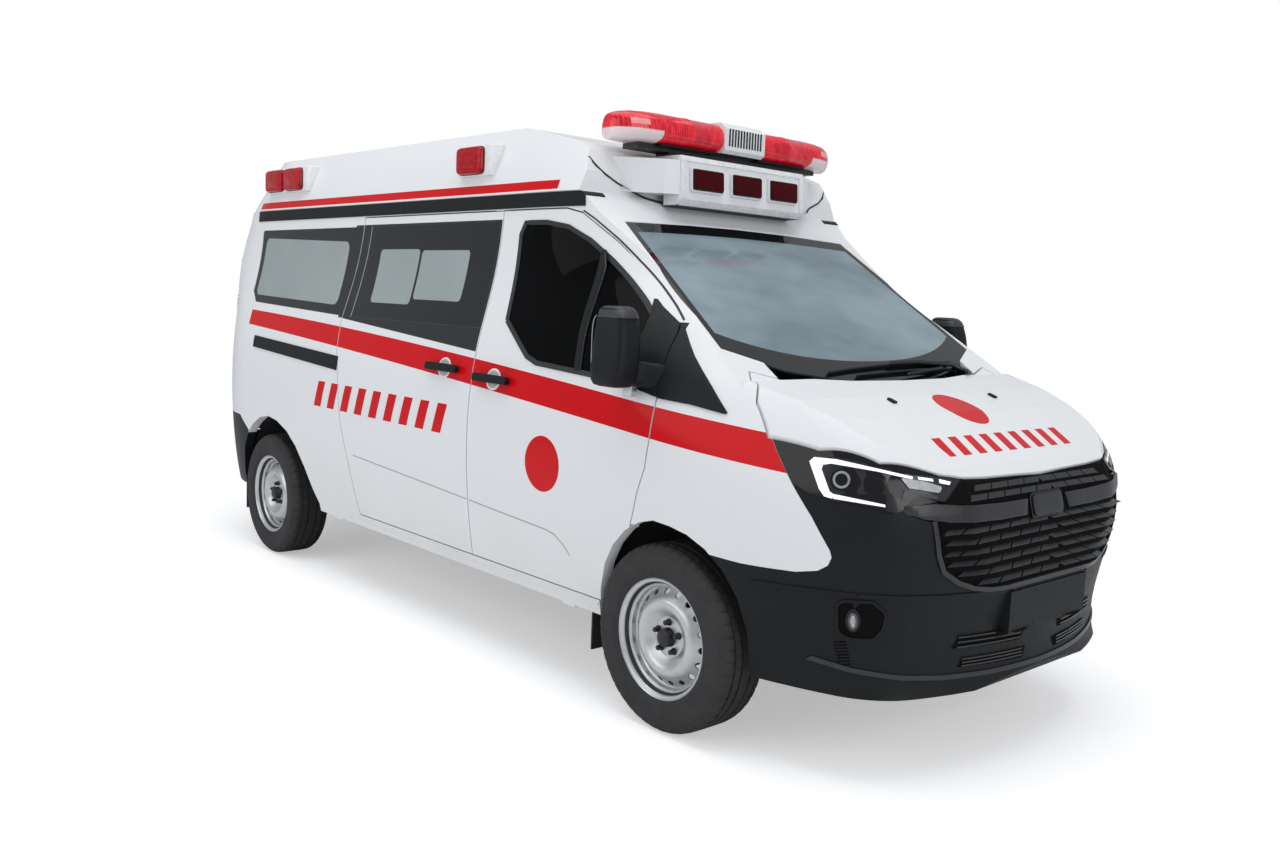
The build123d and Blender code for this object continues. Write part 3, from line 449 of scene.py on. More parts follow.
# Material of each CAD node
for key, names in (
    ("white_roof", "roof_raised"), ("white", "roof_lamp_box cab_frame rear_door_left rear_door_right"),
    ("white_side", "side_wall_left side_wall_right sliding_door front_door_left front_door_right front_wings"),
    ("white_hood", "hood"), ("bar_cover", "light_bar"), ("red_lens", "light_bar_lenses tail_lamps"),
    # the grille's near-black field is painted shade over its black plastic
    ("housing", "roof_side_lamps"), ("black_gloss", "headlamps"), ("recess_shade", "grille"),
    ("black_trim", "front_bumper rear_bumper mirror_left mirror_right cowl side_trim"),
    ("underbody", "floor_pan front_carrier front_axle rear_axle"), ("liner", "arch_liners fuel_tank"),
    ("cabin", "bulkhead dashboard steering_wheel"), ("seat", "cab_seats"), ("exhaust", "exhaust"),
    ("cast", "engine_block knuckle_left knuckle_right"), ("rubber", "mud_flaps"), ("body_glass", "body_glass"),
    ("door_glass", "front_door_glass_left front_door_glass_right"),
    ("rear_glass", "rear_door_glass_left rear_door_glass_right"),
    ("tyre", "tyre_front_left tyre_front_right tyre_rear_left tyre_rear_right"),
    ("steel", "wheel_rim_front_left wheel_rim_front_right wheel_rim_rear_left wheel_rim_rear_right"),
):
    for name in names.split():
        nodes[name].data.materials.clear()
        nodes[name].data.materials.append(M[key])

# --- floor, world and lamps
FLOOR_HALF = 40.0
mesh = bpy.data.meshes.new("floor")
mesh.from_pydata([(x * FLOOR_HALF, y * FLOOR_HALF, 0) for x, y in ((-1, -1), (1, -1), (1, 1), (-1, 1))], [],
                 [(0, 1, 2, 3)])
floor = add_object("floor", mesh)
q = Mat("floor_pale")
diffuse = q.shader("BsdfDiffuse", Color=(0.86, 0.86, 0.87))
lifted = q.make("AddShader", diffuse, q.shader("Emission", Color=(1, 1, 1), Strength=0.42))
near = q.blend(q.seen(), diffuse, lifted)
radius = q.math("SQRT", q.x * q.x + q.y * q.y * 2.2)
fade = q.math("MULTIPLY", q.ramp(radius, 2.6, 5.6, 0, 1), q.seen(), clamp=True)
floor.data.materials.append(q.surface(q.blend(fade, near, q.shader("Emission", Color=(1, 1, 1), Strength=1.0))))
q = Mat("world", world=True)
lit = q.shader("Background", Color=(0.93, 0.96, 1.0), Strength=0.46)
scene.world = q.surface(q.blend(q.seen(), lit, q.shader("Background", Color=(1, 1, 1), Strength=1.0)))

for name, at, target, size, power in (("key_top", (0.5, -1.0, 7.5), (0, 0, 1), (9, 6), 300),
                                      ("side_soft", (-1.0, -8.0, 4.0), (0, 0, 1.0), (9, 4), 150),
                                      ("front_soft", (9.0, -1.0, 3.5), (1, 0, 1.0), (5, 4), 150)):
    data = bpy.data.lights.new(name, "AREA")
    data.shape = "RECTANGLE"
    data.size, data.size_y = size
    data.energy = power
    lamp = add_object(name, data)
    lamp.location = at
    lamp.rotation_mode = "QUATERNION"
    lamp.rotation_quaternion = (Vector(target) - Vector(at)).to_track_quat("-Z", "Y")

# --- mesh helpers


def dress(ob, mat, body, bevel=0.0, angle=35):
    """Material, outward normals, bevel, smooth shading and body of a new piece."""
    ob.data.materials.clear()
    ob.data.materials.append(M[mat])
    bm = bmesh.new()
    bm.from_mesh(ob.data)
    bmesh.ops.recalc_face_normals(bm, faces=bm.faces)
    bm.to_mesh(ob.data)
    bm.free()
    if bevel:
        b = ob.modifiers.new("bevel", "BEVEL")
        b.width = bevel
        b.segments = 3
        b.limit_method = "ANGLE"
        b.angle_limit = math.radians(40)
        b.harden_normals = False
        apply_mods(ob)
    smooth(ob, angle)
    if body:
        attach(ob, body)
    return ob


def smooth(ob, angle):
    for p in ob.data.polygons:
        p.use_smooth = True
    ob.data.set_sharp_from_angle(angle=math.radians(angle))


def apply_mods(ob):
    dg = bpy.context.evaluated_depsgraph_get()
    new = bpy.data.meshes.new_from_object(ob.evaluated_get(dg))
    ob.modifiers.clear()
    old, ob.data = ob.data, new
    bpy.data.meshes.remove(old)


def obj_from(name, verts, faces, mat, body, bevel=0.0, slot=None, angle=35):
    me = bpy.data.meshes.new(name)
    me.from_pydata([tuple(v) for v in verts], [], faces)
    me.update()
    return dress(add_object(name, me), mat, body, bevel, angle)


def ring_faces(rings, k, closed=False):
    """Faces between rings of k points each, closed to a hoop or capped at both ends."""
    faces = []
    for i in range(rings if closed else rings - 1):
        j = (i + 1) % rings
        faces += [(i * k + q, i * k + (q + 1) % k, j * k + (q + 1) % k, j * k + q) for q in range(k)]
    if not closed:
        faces += [tuple(range(k))[::-1], tuple(range((rings - 1) * k, rings * k))]
    return faces


def prism_faces(n):
    """Both ends of a prism, then its sides."""
    faces = ring_faces(2, n)
    return faces[-2:] + faces[:-2]


def lathe(profile, n, centre=(0, 0, 0), side=1):
    """Verts and faces of a closed profile (radius, offset along Y) turned round the Y axis."""
    verts = []
    for i in range(n):
        a = 2 * math.pi * i / n
        verts += [(centre[0] + r * math.cos(a), centre[1] + side * y, centre[2] + r * math.sin(a)) for r, y in profile]
    return verts, ring_faces(n, len(profile), True)


def extrude_poly(name, pts, vec, mat, body, bevel=0.0, slot=None):
    """Closed solid from a 3-D outline moved by a vector."""
    verts = [Vector(p) for p in pts] + [Vector(p) + Vector(vec) for p in pts]
    return obj_from(name, verts, prism_faces(len(pts)), mat, body, bevel, slot)


def loft(name, rings, mat, body, slot=None, angle=40):
    """Skin over rings of equally many points, capped."""
    verts = [p for r in rings for p in r]
    return obj_from(name, verts, ring_faces(len(rings), len(rings[0])), mat, body, slot=slot, angle=angle)


def tube(name, pts, r, mat, slot, n=10):
    """Round rod through points, with one radius or one for each point."""
    pts = [Vector(p) for p in pts]
    rings = []
    a = None
    for i, p in enumerate(pts):
        d = (pts[min(i + 1, len(pts) - 1)] - pts[max(i - 1, 0)]).normalized()
        a = d.orthogonal().normalized() if a is None else (a - d * a.dot(d)).normalized()
        b = d.cross(a)
        rr = r[i] if isinstance(r, list) else r
        turns = [2 * math.pi * k / n for k in range(n)]
        rings.append([p + a * rr * math.cos(t) + b * rr * math.sin(t) for t in turns])
    return loft(name, rings, mat, "body", slot, 35)


def joined(name, obs):
    """One object from several on the same body and material."""
    bm = bmesh.new()
    for o in obs:
        me = o.data.copy()
        me.transform(o.matrix_world)
        bm.from_mesh(me)
        bpy.data.meshes.remove(me)
    keep = obs[0]
    bm.to_mesh(keep.data)
    bm.free()
    keep.matrix_world = Matrix.Identity(4)
    for o in obs[1:]:
        bpy.data.objects.remove(o)
    keep.name = name
    smooth(keep, 35)


# --- wheels
FRONT_AXLE_X, REAR_AXLE_X, WHEEL_Y, WHEEL_Z = 1.710, -1.590, 0.868, 0.343
TYRE_SEGMENTS, RIM_HOLES = 288, 18
RIM_PROFILE = [
    (0.0305, 0.030), (0.0305, 0.049), (0.066, 0.049), (0.074, 0.047), (0.086, 0.053), (0.100, 0.066), (0.113, 0.0745),
    (0.127, 0.077), (0.140, 0.073), (0.150, 0.063), (0.160, 0.053), (0.176, 0.040), (0.182, 0.036), (0.1875, 0.040),
    (0.189, 0.058), (0.193, 0.0625), (0.203, 0.066), (0.2045, 0.070), (0.205, 0.083), (0.208, 0.087), (0.214, 0.0885),
    (0.2185, 0.0925), (0.2205, 0.096), (0.2205, 0.0915), (0.217, 0.0885), (0.2065, 0.0845), (0.2065, 0.070),
    (0.196, 0.066), (0.191, 0.056), (0.190, -0.060), (0.206, -0.084), (0.2185, -0.088), (0.2205, -0.096),
    (0.216, -0.094), (0.203, -0.090), (0.186, -0.064), (0.185, 0.028), (0.178, 0.034), (0.158, 0.048), (0.147, 0.058),
    (0.138, 0.068), (0.127, 0.072), (0.115, 0.070), (0.102, 0.061), (0.088, 0.048), (0.075, 0.042), (0.066, 0.044),
    (0.0355, 0.044), (0.0355, 0.030)]
SIDEWALL = [
    (0.2075, 0.0835), (0.2195, 0.0880), (0.2215, 0.0965), (0.228, 0.1010), (0.238, 0.1035), (0.2395, 0.1052),
    (0.2425, 0.1052), (0.244, 0.1046), (0.262, 0.1066), (0.280, 0.1074), (0.296, 0.1070), (0.3035, 0.1062),
    (0.305, 0.1070), (0.308, 0.1068), (0.3095, 0.1052), (0.318, 0.1022), (0.3265, 0.0975), (0.334, 0.0905),
    (0.3385, 0.0845), (0.3408, 0.0785)]
TREAD = [  # depth below the tyre's radius, offset: shoulder and two grooves 7.5 mm deep
    (0.0012, 0.0700), (0.0006, 0.0650), (0.0075, 0.0640), (0.0075, 0.0580), (0.0004, 0.0570), (0.0001, 0.043),
    (0.0, 0.0290), (0.0075, 0.0280), (0.0075, 0.0215), (0.0, 0.0205), (0.0, 0.0105)]
CAP_PROFILE = [(0.0001, 0.083), (0.012, 0.0828), (0.026, 0.081), (0.0315, 0.077), (0.0335, 0.070), (0.0345, 0.052),
               (0.036, 0.0492), (0.0001, 0.0492)]
NUT_PROFILE = [(0.0001, 0.0745), (0.006, 0.0745), (0.0092, 0.0715), (0.0098, 0.062), (0.0102, 0.058), (0.0130, 0.0545),
               (0.0135, 0.0492), (0.0001, 0.0492)]


def make_rim():
    """Turned rim with a ring of oval holes cut through its disc."""
    ob = obj_from("rim_src", *lathe(RIM_PROFILE, 144), "steel", None)
    cut_v, cut_f, n = [], [], 20
    for k in range(RIM_HOLES):
        a = 2 * math.pi * k / RIM_HOLES + 0.05
        c = Vector((0.1675 * math.cos(a), 0, 0.1675 * math.sin(a)))
        rad, tan = c.normalized(), Vector((-math.sin(a), 0, math.cos(a)))
        cut_f += [tuple(len(cut_v) + i for i in f) for f in prism_faces(n)]
        for depth in (0.0, 0.09):
            for t in range(n):
                q = 2 * math.pi * t / n
                cut_v.append(c + rad * 0.0098 * math.cos(q) + tan * 0.0125 * math.sin(q) + Vector((0, depth, 0)))
    cutter = obj_from("rim_cut", cut_v, cut_f, "steel", None)
    md = ob.modifiers.new("cut", "BOOLEAN")
    md.operation = "DIFFERENCE"
    md.object = cutter
    md.solver = "EXACT"
    apply_mods(ob)
    bpy.data.objects.remove(cutter)
    smooth(ob, 30)
    return ob


def tyre_mesh():
    """Road tyre: rounded carcass, four grooves round it, cut shoulder blocks."""
    half = SIDEWALL + [(WHEEL_Z - depth, y) for depth, y in TREAD]
    profile = half + [(r, -y) for r, y in half[::-1]] + [(0.1975, -0.070), (0.1975, 0.070)]
    verts, faces = lathe(profile, TYRE_SEGMENTS)
    out = []
    for n, (x, y, z) in enumerate(verts):
        i, q = divmod(n, len(profile))
        r = math.hypot(x, z)
        row = min(q, 2 * len(half) - 1 - q) - len(SIDEWALL)
        if i % 6 == 0 and -4 <= row <= 1:
            r -= 0.0045
        if i % 6 == 3 and 4 <= row <= 6:
            r -= 0.0035
        a = 2 * math.pi * i / TYRE_SEGMENTS
        out.append((r * math.cos(a), y, r * math.sin(a)))
    return out, faces


rim_src = make_rim()
tyre_verts, tyre_faces = tyre_mesh()
for w, wx, s in (("front_left", FRONT_AXLE_X, 1), ("front_right", FRONT_AXLE_X, -1), ("rear_left", REAR_AXLE_X, 1),
                 ("rear_right", REAR_AXLE_X, -1)):
    body = "wheel_" + w
    hub = Vector((wx, s * WHEEL_Y, WHEEL_Z))
    me = rim_src.data.copy()
    me.transform(Matrix.Translation(hub) @ Matrix.Rotation(0 if s > 0 else math.pi, 4, "Z"))
    rim = add_object("rim_look_" + w, me)
    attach(rim, body)
    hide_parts("wheel_rim_" + w)
    placed = [(x + wx, s * y + s * WHEEL_Y, z + WHEEL_Z) for x, y, z in tyre_verts]
    ty = obj_from("tyre_look_" + w, placed, tyre_faces, "tyre", None, angle=28)
    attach(ty, body)
    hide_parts("tyre_" + w)
    parts = [obj_from("cap", *lathe(CAP_PROFILE, 40, (wx, s * WHEEL_Y, WHEEL_Z), s), "nut", body)]
    for k in range(5):
        a = 2 * math.pi * k / 5 + math.pi / 2
        at = Vector((wx + 0.056 * math.cos(a), s * WHEEL_Y, WHEEL_Z + 0.056 * math.sin(a)))
        parts.append(obj_from("nut", *lathe(NUT_PROFILE, 12, at, s), "nut", body))
    joined("hub_and_nuts_" + w, parts)
bpy.data.objects.remove(rim_src)

# --- outlines and plates laid on the bodywork
TREES = {}
VIEWS = {"right": lambda a, b: ((a, -2.5, b), (0, 1, 0)), "left": lambda a, b: ((a, 2.5, b), (0, -1, 0)),
         "front": lambda a, b: ((4.0, a, b), (-1, 0, 0)), "rear": lambda a, b: ((-4.0, a, b), (1, 0, 0)),
         "top": lambda a, b: ((a, b, 4.0), (0, 0, -1))}
SIDES = ((-1, "right"), (1, "left"))
PHOTO_UNIT = 500.0  # picture points that count as a metre when a plate is divided


def view_ray(view, a, b):
    """Start and direction of the sight line at a, b of a view. The photo's are picture points."""
    if view == "photo":
        sight_line = cam_right * (a - CENTRE_PX[0]) + cam_up * (CENTRE_PX[1] - b) + sight * FOCAL_PX
        return CAM_AT, sight_line.normalized()
    start, d = VIEWS[view](a, b)
    return Vector(start), Vector(d)


def land(names, view, a, b):
    """Point and normal where a sight line meets the named nodes."""
    if names not in TREES:
        vs, fs = [], []
        for ob in (nodes[n] for n in names.split()):
            base = len(vs)
            vs += [ob.matrix_world @ v.co for v in ob.data.vertices]
            fs += [[base + i for i in p.vertices] for p in ob.data.polygons]
        TREES[names] = BVHTree.FromPolygons(vs, fs)
    o, d = view_ray(view, a, b)
    p, n, _, _ = TREES[names].ray_cast(o, d)
    return (None, None) if p is None else (p, -n if n.dot(d) > 0 else n)


def land_all(name, names, view, pts):
    """Points and normals behind an outline. Where a sight line misses, the nearest hit lends its own."""
    hits = [(p, *land(names, view, p.x, p.y)) for p in pts]
    good = [h for h in hits if h[1] is not None]
    if not good:
        raise SystemExit("no surface behind " + name)
    out = []
    for p, q, n in hits:
        if q is None:
            near = min(good, key=lambda h: (h[0] - p).length)
            o, d = view_ray(view, p.x, p.y)
            q, n = o + d * (near[1] - o).dot(d), near[2]
        out.append((q, n))
    return out


def quad(a0, b0, a1, b1):
    return [(a0, b0), (a1, b0), (a1, b1), (a0, b1)]


def ellipse(ca, cb, ra, rb, n=24):
    return [(ca + ra * math.cos(t * math.pi / (n // 2)), cb + rb * math.sin(t * math.pi / (n // 2))) for t in range(n)]


def oval(cu, cv, hu, hv, p, n=32):
    """Rounded rectangle of power p."""
    out = []
    for i in range(n):
        t = 2 * math.pi * (i + 0.5) / n
        c, s = math.cos(t), math.sin(t)
        out.append((cu + hu * math.copysign(abs(c) ** (2 / p), c), cv + hv * math.copysign(abs(s) ** (2 / p), s)))
    return out


def fillet(pts, r, n=4):
    """Outline with its corners rounded."""
    out = []
    for i, at in enumerate(pts):
        p, a, b = Vector(at), Vector(pts[i - 1]), Vector(pts[(i + 1) % len(pts)])
        da, db = a - p, b - p
        q = min(r, da.length * 0.45, db.length * 0.45)
        s, e = p + da.normalized() * q, p + db.normalized() * q
        for t in (j / n for j in range(n + 1)):
            out.append(tuple(s * (1 - t) ** 2 + p * 2 * t * (1 - t) + e * t * t))
    return out


def crop(pts, x0=680, y0=420, s=3.571):
    """Outline read off an enlarged piece of the picture, brought to picture points."""
    return [(x0 + a / s, y0 + b / s) for a, b in pts]


def lerp_line(pts, step):
    """Points along a polyline at about even spacing."""
    out = []
    for a, b in zip(pts, pts[1:]):
        a, b = Vector(a), Vector(b)
        n = max(1, int((b - a).length / step))
        out += [tuple(a.lerp(b, i / n)) for i in range(n)]
    return out + [tuple(pts[-1])]


def bisect(bm, axis, at):
    co, no = [0, 0, 0], [0, 0, 0]
    co[axis], no[axis] = at, 1
    bmesh.ops.bisect_plane(bm, geom=bm.verts[:] + bm.edges[:] + bm.faces[:], plane_co=co, plane_no=no, dist=1e-6)


def divided(outline, cuts):
    """Flat mesh of an outline, cut along both axes as often as cuts says of its reach."""
    bm = bmesh.new()
    bm.faces.new([bm.verts.new((a, b, 0)) for a, b in outline])
    for ax in (0, 1):
        lo, hi = min(p[ax] for p in outline), max(p[ax] for p in outline)
        k = cuts(hi - lo)
        for i in range(1, k + 1):
            bisect(bm, ax, lo + (hi - lo) * i / (k + 1))
    bmesh.ops.triangulate(bm, faces=[f for f in bm.faces if len(f.verts) > 4])
    bm.verts.index_update()
    return bm


def sheet_faces(bm):
    """Front, back and rim of a closed sheet whose front vertices come first."""
    n = len(bm.verts)
    front = [tuple(v.index for v in f.verts) for f in bm.faces]
    rim = [[v.index for v in e.verts] for e in bm.edges if len(e.link_faces) == 1]
    return front + [tuple(i + n for i in f)[::-1] for f in front] + [(a, b, b + n, a + n) for a, b in rim]


def emit(name, hits, lift, thick, faces, mat, body, mirror, slot, bevel=0.0):
    """A sheet that stands on what the sight lines hit: one piece, or a right and a left one."""
    verts = [q + n * (lift + thick) for q, n in hits] + [q + n * lift for q, n in hits]
    obs = [obj_from(name, verts, faces, mat, body, bevel, slot)]
    if mirror:
        flipped = [(v[0], -v[1], v[2]) for v in verts]
        obs.append(obj_from(name + "_left", flipped, [f[::-1] for f in faces], mat, body, bevel, slot))
        obs[0].name = name + "_right"
    return obs


def plate(name, outline, view, names, mat, lift, thick, step=0.05, body="body", mirror=False, slot=None, bevel=0.0):
    """Thin plate that follows the surface behind its outline."""
    unit = PHOTO_UNIT if view == "photo" else 1.0
    bm = divided(outline, lambda reach: int(reach / (step * unit)))
    hits = land_all(name, names, view, [v.co.copy() for v in bm.verts])
    faces = sheet_faces(bm)
    bm.free()
    return emit(name, hits, lift, thick, faces, mat, body, mirror, slot, bevel)


def strip(name, line, step, width, view, names, mat, lift, thick, body="body", mirror=False, slot=None):
    """Band of even width along a line on the surface."""
    pts = [Vector(p) for p in (lerp_line(line, step) if step else line)]
    a_side, b_side = [], []
    for i, p in enumerate(pts):
        d = (pts[min(i + 1, len(pts) - 1)] - pts[max(i - 1, 0)]).normalized()
        half = Vector((-d.y, d.x)) * (width[i] if isinstance(width, list) else width) / 2
        a_side.append(p + half)
        b_side.append(p - half)
    k = len(pts)
    faces = []
    for i in range(k - 1):
        faces += [(i, i + 1, k + i + 1, k + i), (2 * k + i, 3 * k + i, 3 * k + i + 1, 2 * k + i + 1),
                  (i, 2 * k + i, 2 * k + i + 1, i + 1), (k + i, k + i + 1, 3 * k + i + 1, 3 * k + i)]
    faces += [(0, k, 3 * k, 2 * k), (k - 1, 3 * k - 1, 4 * k - 1, 2 * k - 1)]
    emit(name, land_all(name, names, view, a_side + b_side), lift, thick, faces, mat, body, mirror, slot)


def shield(name, outline, box, names, bodies, stand=0.002, thick=0.005):
    """Smooth plate over the outermost skin, on both sides. Outline points are X, Z, or picture points above 100."""
    pts = []
    for a in range(17):
        for b in range(17):
            x, z = box[0] + a / 16 * (box[1] - box[0]), box[2] + b / 16 * (box[3] - box[2])
            q, _ = land(names, "right", x, z)
            if q is not None:
                pts.append((x, z, -q.y))
    xc, zc = (sum(p[i] for p in pts) / len(pts) for i in (0, 1))

    def terms(x, z):
        u, v = x - xc, z - zc
        return [1.0, u, v, u * u, u * v, v * v]

    def skin(x, z):
        return float(np.dot(terms(x, z), fit))

    for _ in range(6):
        # fit a curved surface, drop the points well inside it, fit again
        fit = np.linalg.lstsq(np.array([terms(p[0], p[1]) for p in pts]), np.array([p[2] for p in pts]), rcond=None)[0]
        keep = [p for p in pts if p[2] > skin(p[0], p[1]) - 0.003]
        if len(keep) < 20 or len(keep) == len(pts):
            break
        pts = keep
    flat = []
    for a, b in outline:
        if a > 100:
            o, d = view_ray("photo", a, b)
            q = o + d * ((-0.93 - o.y) / d.y)
            for _ in range(12):
                q = o + d * ((-(skin(q.x, q.z) + stand + thick) - o.y) / d.y)
            a, b = q.x, q.z
        flat.append((a, b))
    bm = divided(flat, lambda reach: 7)
    inner = [(v.co.x, -(skin(v.co.x, v.co.y) + stand), v.co.y) for v in bm.verts]
    faces = sheet_faces(bm)
    bm.free()
    for (s, side), body in zip(SIDES, bodies):
        verts = [(x, -s * (y - thick), z) for x, y, z in inner] + [(x, -s * y, z) for x, y, z in inner]
        obj_from(name + "_" + side, verts, faces, "black_trim", body, 0.0012, "black_trim")


# --- headlamps
LAMP_INNER = [(478, 128), (600, 140), (830, 198), (1000, 210), (945, 292), (835, 277), (770, 332), (540, 288),
              (492, 250)]
LAMP_C = [(463, 148), (480, 133), (560, 141), (830, 204), (828, 213), (700, 184), (540, 156), (512, 160), (506, 175),
          (535, 255), (548, 264), (732, 303), (733, 312), (540, 280), (515, 272), (497, 245)]
BLOCK = [(787, 208), (880, 222), (935, 240), (925, 262), (850, 250), (815, 245)]
FOLD = [(800, 252), (850, 262), (930, 274), (925, 284), (838, 274), (790, 320), (778, 322)]
EYE = (578, 214)
for nm, outline, mat, lift, thick, step in (
    ("field", LAMP_INNER, "lamp_dark", 0.0003, 0.0012, 0.05), ("running", LAMP_C, "led", 0.0016, 0.0022, 0.05),
    ("dash_0", [(847, 204), (900, 211), (903, 221), (850, 214)], "led", 0.0016, 0.0022, 0.05),
    ("dash_1", [(923, 212), (965, 222), (960, 233), (925, 226)], "led", 0.0016, 0.0022, 0.05),
    ("reflector", fillet(BLOCK, 8), "reflector", 0.0016, 0.0022, 0.05),
    ("ring", ellipse(*EYE, 40, 40), "black_gloss", 0.0016, 0.0022, 0.2),
    ("bowl", ellipse(*EYE, 31, 31), "reflector", 0.0040, 0.0022, 0.2),
    ("lens", ellipse(*EYE, 22, 22), "black_gloss", 0.0062, 0.0022, 0.2), ("fold", FOLD, "satin", 0.0016, 0.002, 0.05),
):
    plate("headlamp_" + nm, crop(outline), "photo", "headlamps", mat, lift, thick, step, mirror=True, slot="lamp_glass")

# --- grille: louvres in staggered rows, bar, blank boss, rim
GRILLE_EDGE = [(0.612, 0.89), (0.604, 0.836), (0.592, 0.787), (0.567, 0.736), (0.504, 0.697), (0.435, 0.674),
               (0.366, 0.664)]
ROW_PITCH, BLADE_PITCH, MESH_PITCH, BLADE_GAP = 0.0345, 0.128, 0.105, 0.005


def half_at(z):
    """Half width of the grille's opening at a height."""
    for (y0, z0), (y1, z1) in zip(GRILLE_EDGE, GRILLE_EDGE[1:]):
        if z1 <= z <= z0:
            return y0 + (y1 - y0) * (z0 - z) / (z0 - z1)
    return GRILLE_EDGE[0][0]


def louvre_row(name, zc, spans, tilt, low, high, thick, lean):
    """Blades over the spans across, slanted at their ends, their upper edge set back."""
    parts = []
    for a, b in spans:
        t = tilt if a + b > 0 else -tilt
        o = [(a + t, zc - low), (b + t, zc - low), (b - t, zc + high), (a - t, zc + high)]
        parts += plate("louvre", o, "front", "grille", "blade", -0.004, thick, 0.06)
    for v in (v for p in parts for v in p.data.vertices if v.co.z > zc):
        v.co.x -= lean
    joined(name, parts)


for row in range(6):
    zc = 0.858 - row * ROW_PITCH
    lim = half_at(zc - 0.012) - 0.018
    shift = (row % 2) * BLADE_PITCH / 2
    spans = [(max(k * BLADE_PITCH + shift + BLADE_GAP, -lim), min((k + 1) * BLADE_PITCH + shift - BLADE_GAP, lim))
             for k in range(-7, 8)]
    louvre_row("grille_louvres_%d" % row, zc, [(a, b) for a, b in spans if b - a >= 0.03], 0.019, 0.0070, 0.0065, 0.019,
               0.0150)
for row, zc in enumerate((0.957, 0.987)):
    spans = [(k * MESH_PITCH - 0.049 + (row * 0.03), k * MESH_PITCH + 0.049 + (row * 0.03)) for k in range(-5, 6)]
    spans = [s for s in spans if max(abs(s[0]), abs(s[1])) <= 0.50 - row * 0.02]
    louvre_row("grille_mesh_%d" % row, zc, spans, 0.008, 0.008, 0.009, 0.012, 0.007)
BAR = [(0.712, 0.945), (0.614, 0.949), (0.524, 0.94), (0.30, 0.931), (0.13, 0.93), (0.148, 0.878), (0.316, 0.878),
       (0.568, 0.889), (0.656, 0.901), (0.722, 0.924)]
for s, side in SIDES:
    plate("grille_bar_" + side, [(s * y, z) for y, z in BAR], "front", "grille front_bumper headlamps", "satin", -0.003,
          0.014, slot="black_trim", bevel=0.004)
for nm, o, r, mat, lift, bevel in (("_base", quad(-0.112, 0.858, 0.112, 0.948), 0.030, "black_gloss", 0.0, 0.002),
                                   ("", quad(-0.100, 0.868, 0.100, 0.938), 0.026, "satin", 0.006, 0.003)):
    plate("grille_boss" + nm, fillet(o, r, 6), "front", "grille", mat, lift, 0.006, slot="black_trim", bevel=bevel)
RIM = [(0.622, 0.895), (0.614, 0.836), (0.602, 0.783), (0.574, 0.729), (0.508, 0.688), (0.437, 0.664), (0.366, 0.653),
       (0.2, 0.652), (0.0, 0.652)]
strip("grille_rim", [(-y, z) for y, z in RIM] + RIM[:-1][::-1], 0.04, 0.016, "front", "front_bumper grille", "satin",
      0.0, 0.007, slot="black_trim")

# --- bumper: crease, fog lamps, vent slots and intakes with painted shade in them, lip
PAIR = dict(mirror=True, slot="black_trim")
strip("bumper_crease_side", [(2.10, 0.640), (2.17, 0.640), (2.26, 0.643), (2.36, 0.648), (2.44, 0.650)], 0.03,
      [0.004] + [0.014] * 40, "right", "front_bumper", "black_trim", 0.0, 0.005, **PAIR)
strip("bumper_crease_front", [(-0.80, 0.650), (-0.70, 0.648), (-0.55, 0.642), (-0.40, 0.640), (-0.27, 0.640)], 0.03,
      0.014, "front", "front_bumper", "black_trim", 0.0, 0.005, **PAIR)
FOG = [(560, 665), (580, 645), (690, 650), (735, 690), (725, 745), (690, 785), (600, 780), (562, 755)]
ring = crop(fillet(FOG, 16))
# near-black sheet in the fog lamp recess: painted shade
plate("fog_recess", ring, "photo", "front_bumper", "recess_shade", 0.0004, 0.0012, 0.1, **PAIR)
strip("fog_rim", ring + [ring[0]], 8, 2.6, "photo", "front_bumper", "black_trim", 0.0, 0.006, **PAIR)
for nm, ra, rb, mat, lift in (("bezel", 27, 41, "black_gloss", 0.0016), ("bowl", 17, 31, "fog_bowl", 0.005),
                              ("glass", 9, 21, "fog_glass", 0.0072)):
    plate("fog_lamp_" + nm, crop(ellipse(618, 715, ra, rb)), "photo", "front_bumper", mat, lift, 0.003, 0.3,
          mirror=True, slot="lamp_glass")
for k in range(8):
    x0, y0 = 548 + k * 2.5, 790 + k * 11.5
    o = [(x0, y0), (x0 + 46, y0 - 1), (x0 + 44, y0 + 5), (x0, y0 + 5)]
    # dark vent slots: painted shade
    plate("vent", crop(o), "photo", "front_bumper", "recess_shade", 0.0004, 0.001, 0.3)
for z0, z1, y0, y1 in ((0.440, 0.494, 0.11, 0.47), (0.372, 0.412, 0.09, 0.44)):
    o = fillet([(y0 + 0.02, z0), (y1, z0 + 0.012), (y1 - 0.03, z1), (y0, z1)], 0.012)
    # dark intake field: painted shade
    plate("intake_field", [(-a, b) for a, b in o], "front", "front_bumper", "recess_shade", 0.0004, 0.0012, **PAIR)
    for j in range(3):
        z = z0 + 0.010 + j * (z1 - z0 - 0.012) / 2.4
        o = [(-y0 - 0.03, z), (-y1 + 0.02, z + 0.004), (-y1 + 0.02, z + 0.009), (-y0 - 0.03, z + 0.005)]
        plate("intake_bar", o, "front", "front_bumper", "blade", 0.0012, 0.006, **PAIR)
strip("bumper_lip", [(-0.84, 0.415), (-0.78, 0.395), (-0.65, 0.372), (-0.5, 0.358), (-0.3, 0.352), (0.0, 0.350)], 0.03,
      0.016, "front", "front_bumper", "satin", 0.0, 0.006, **PAIR)

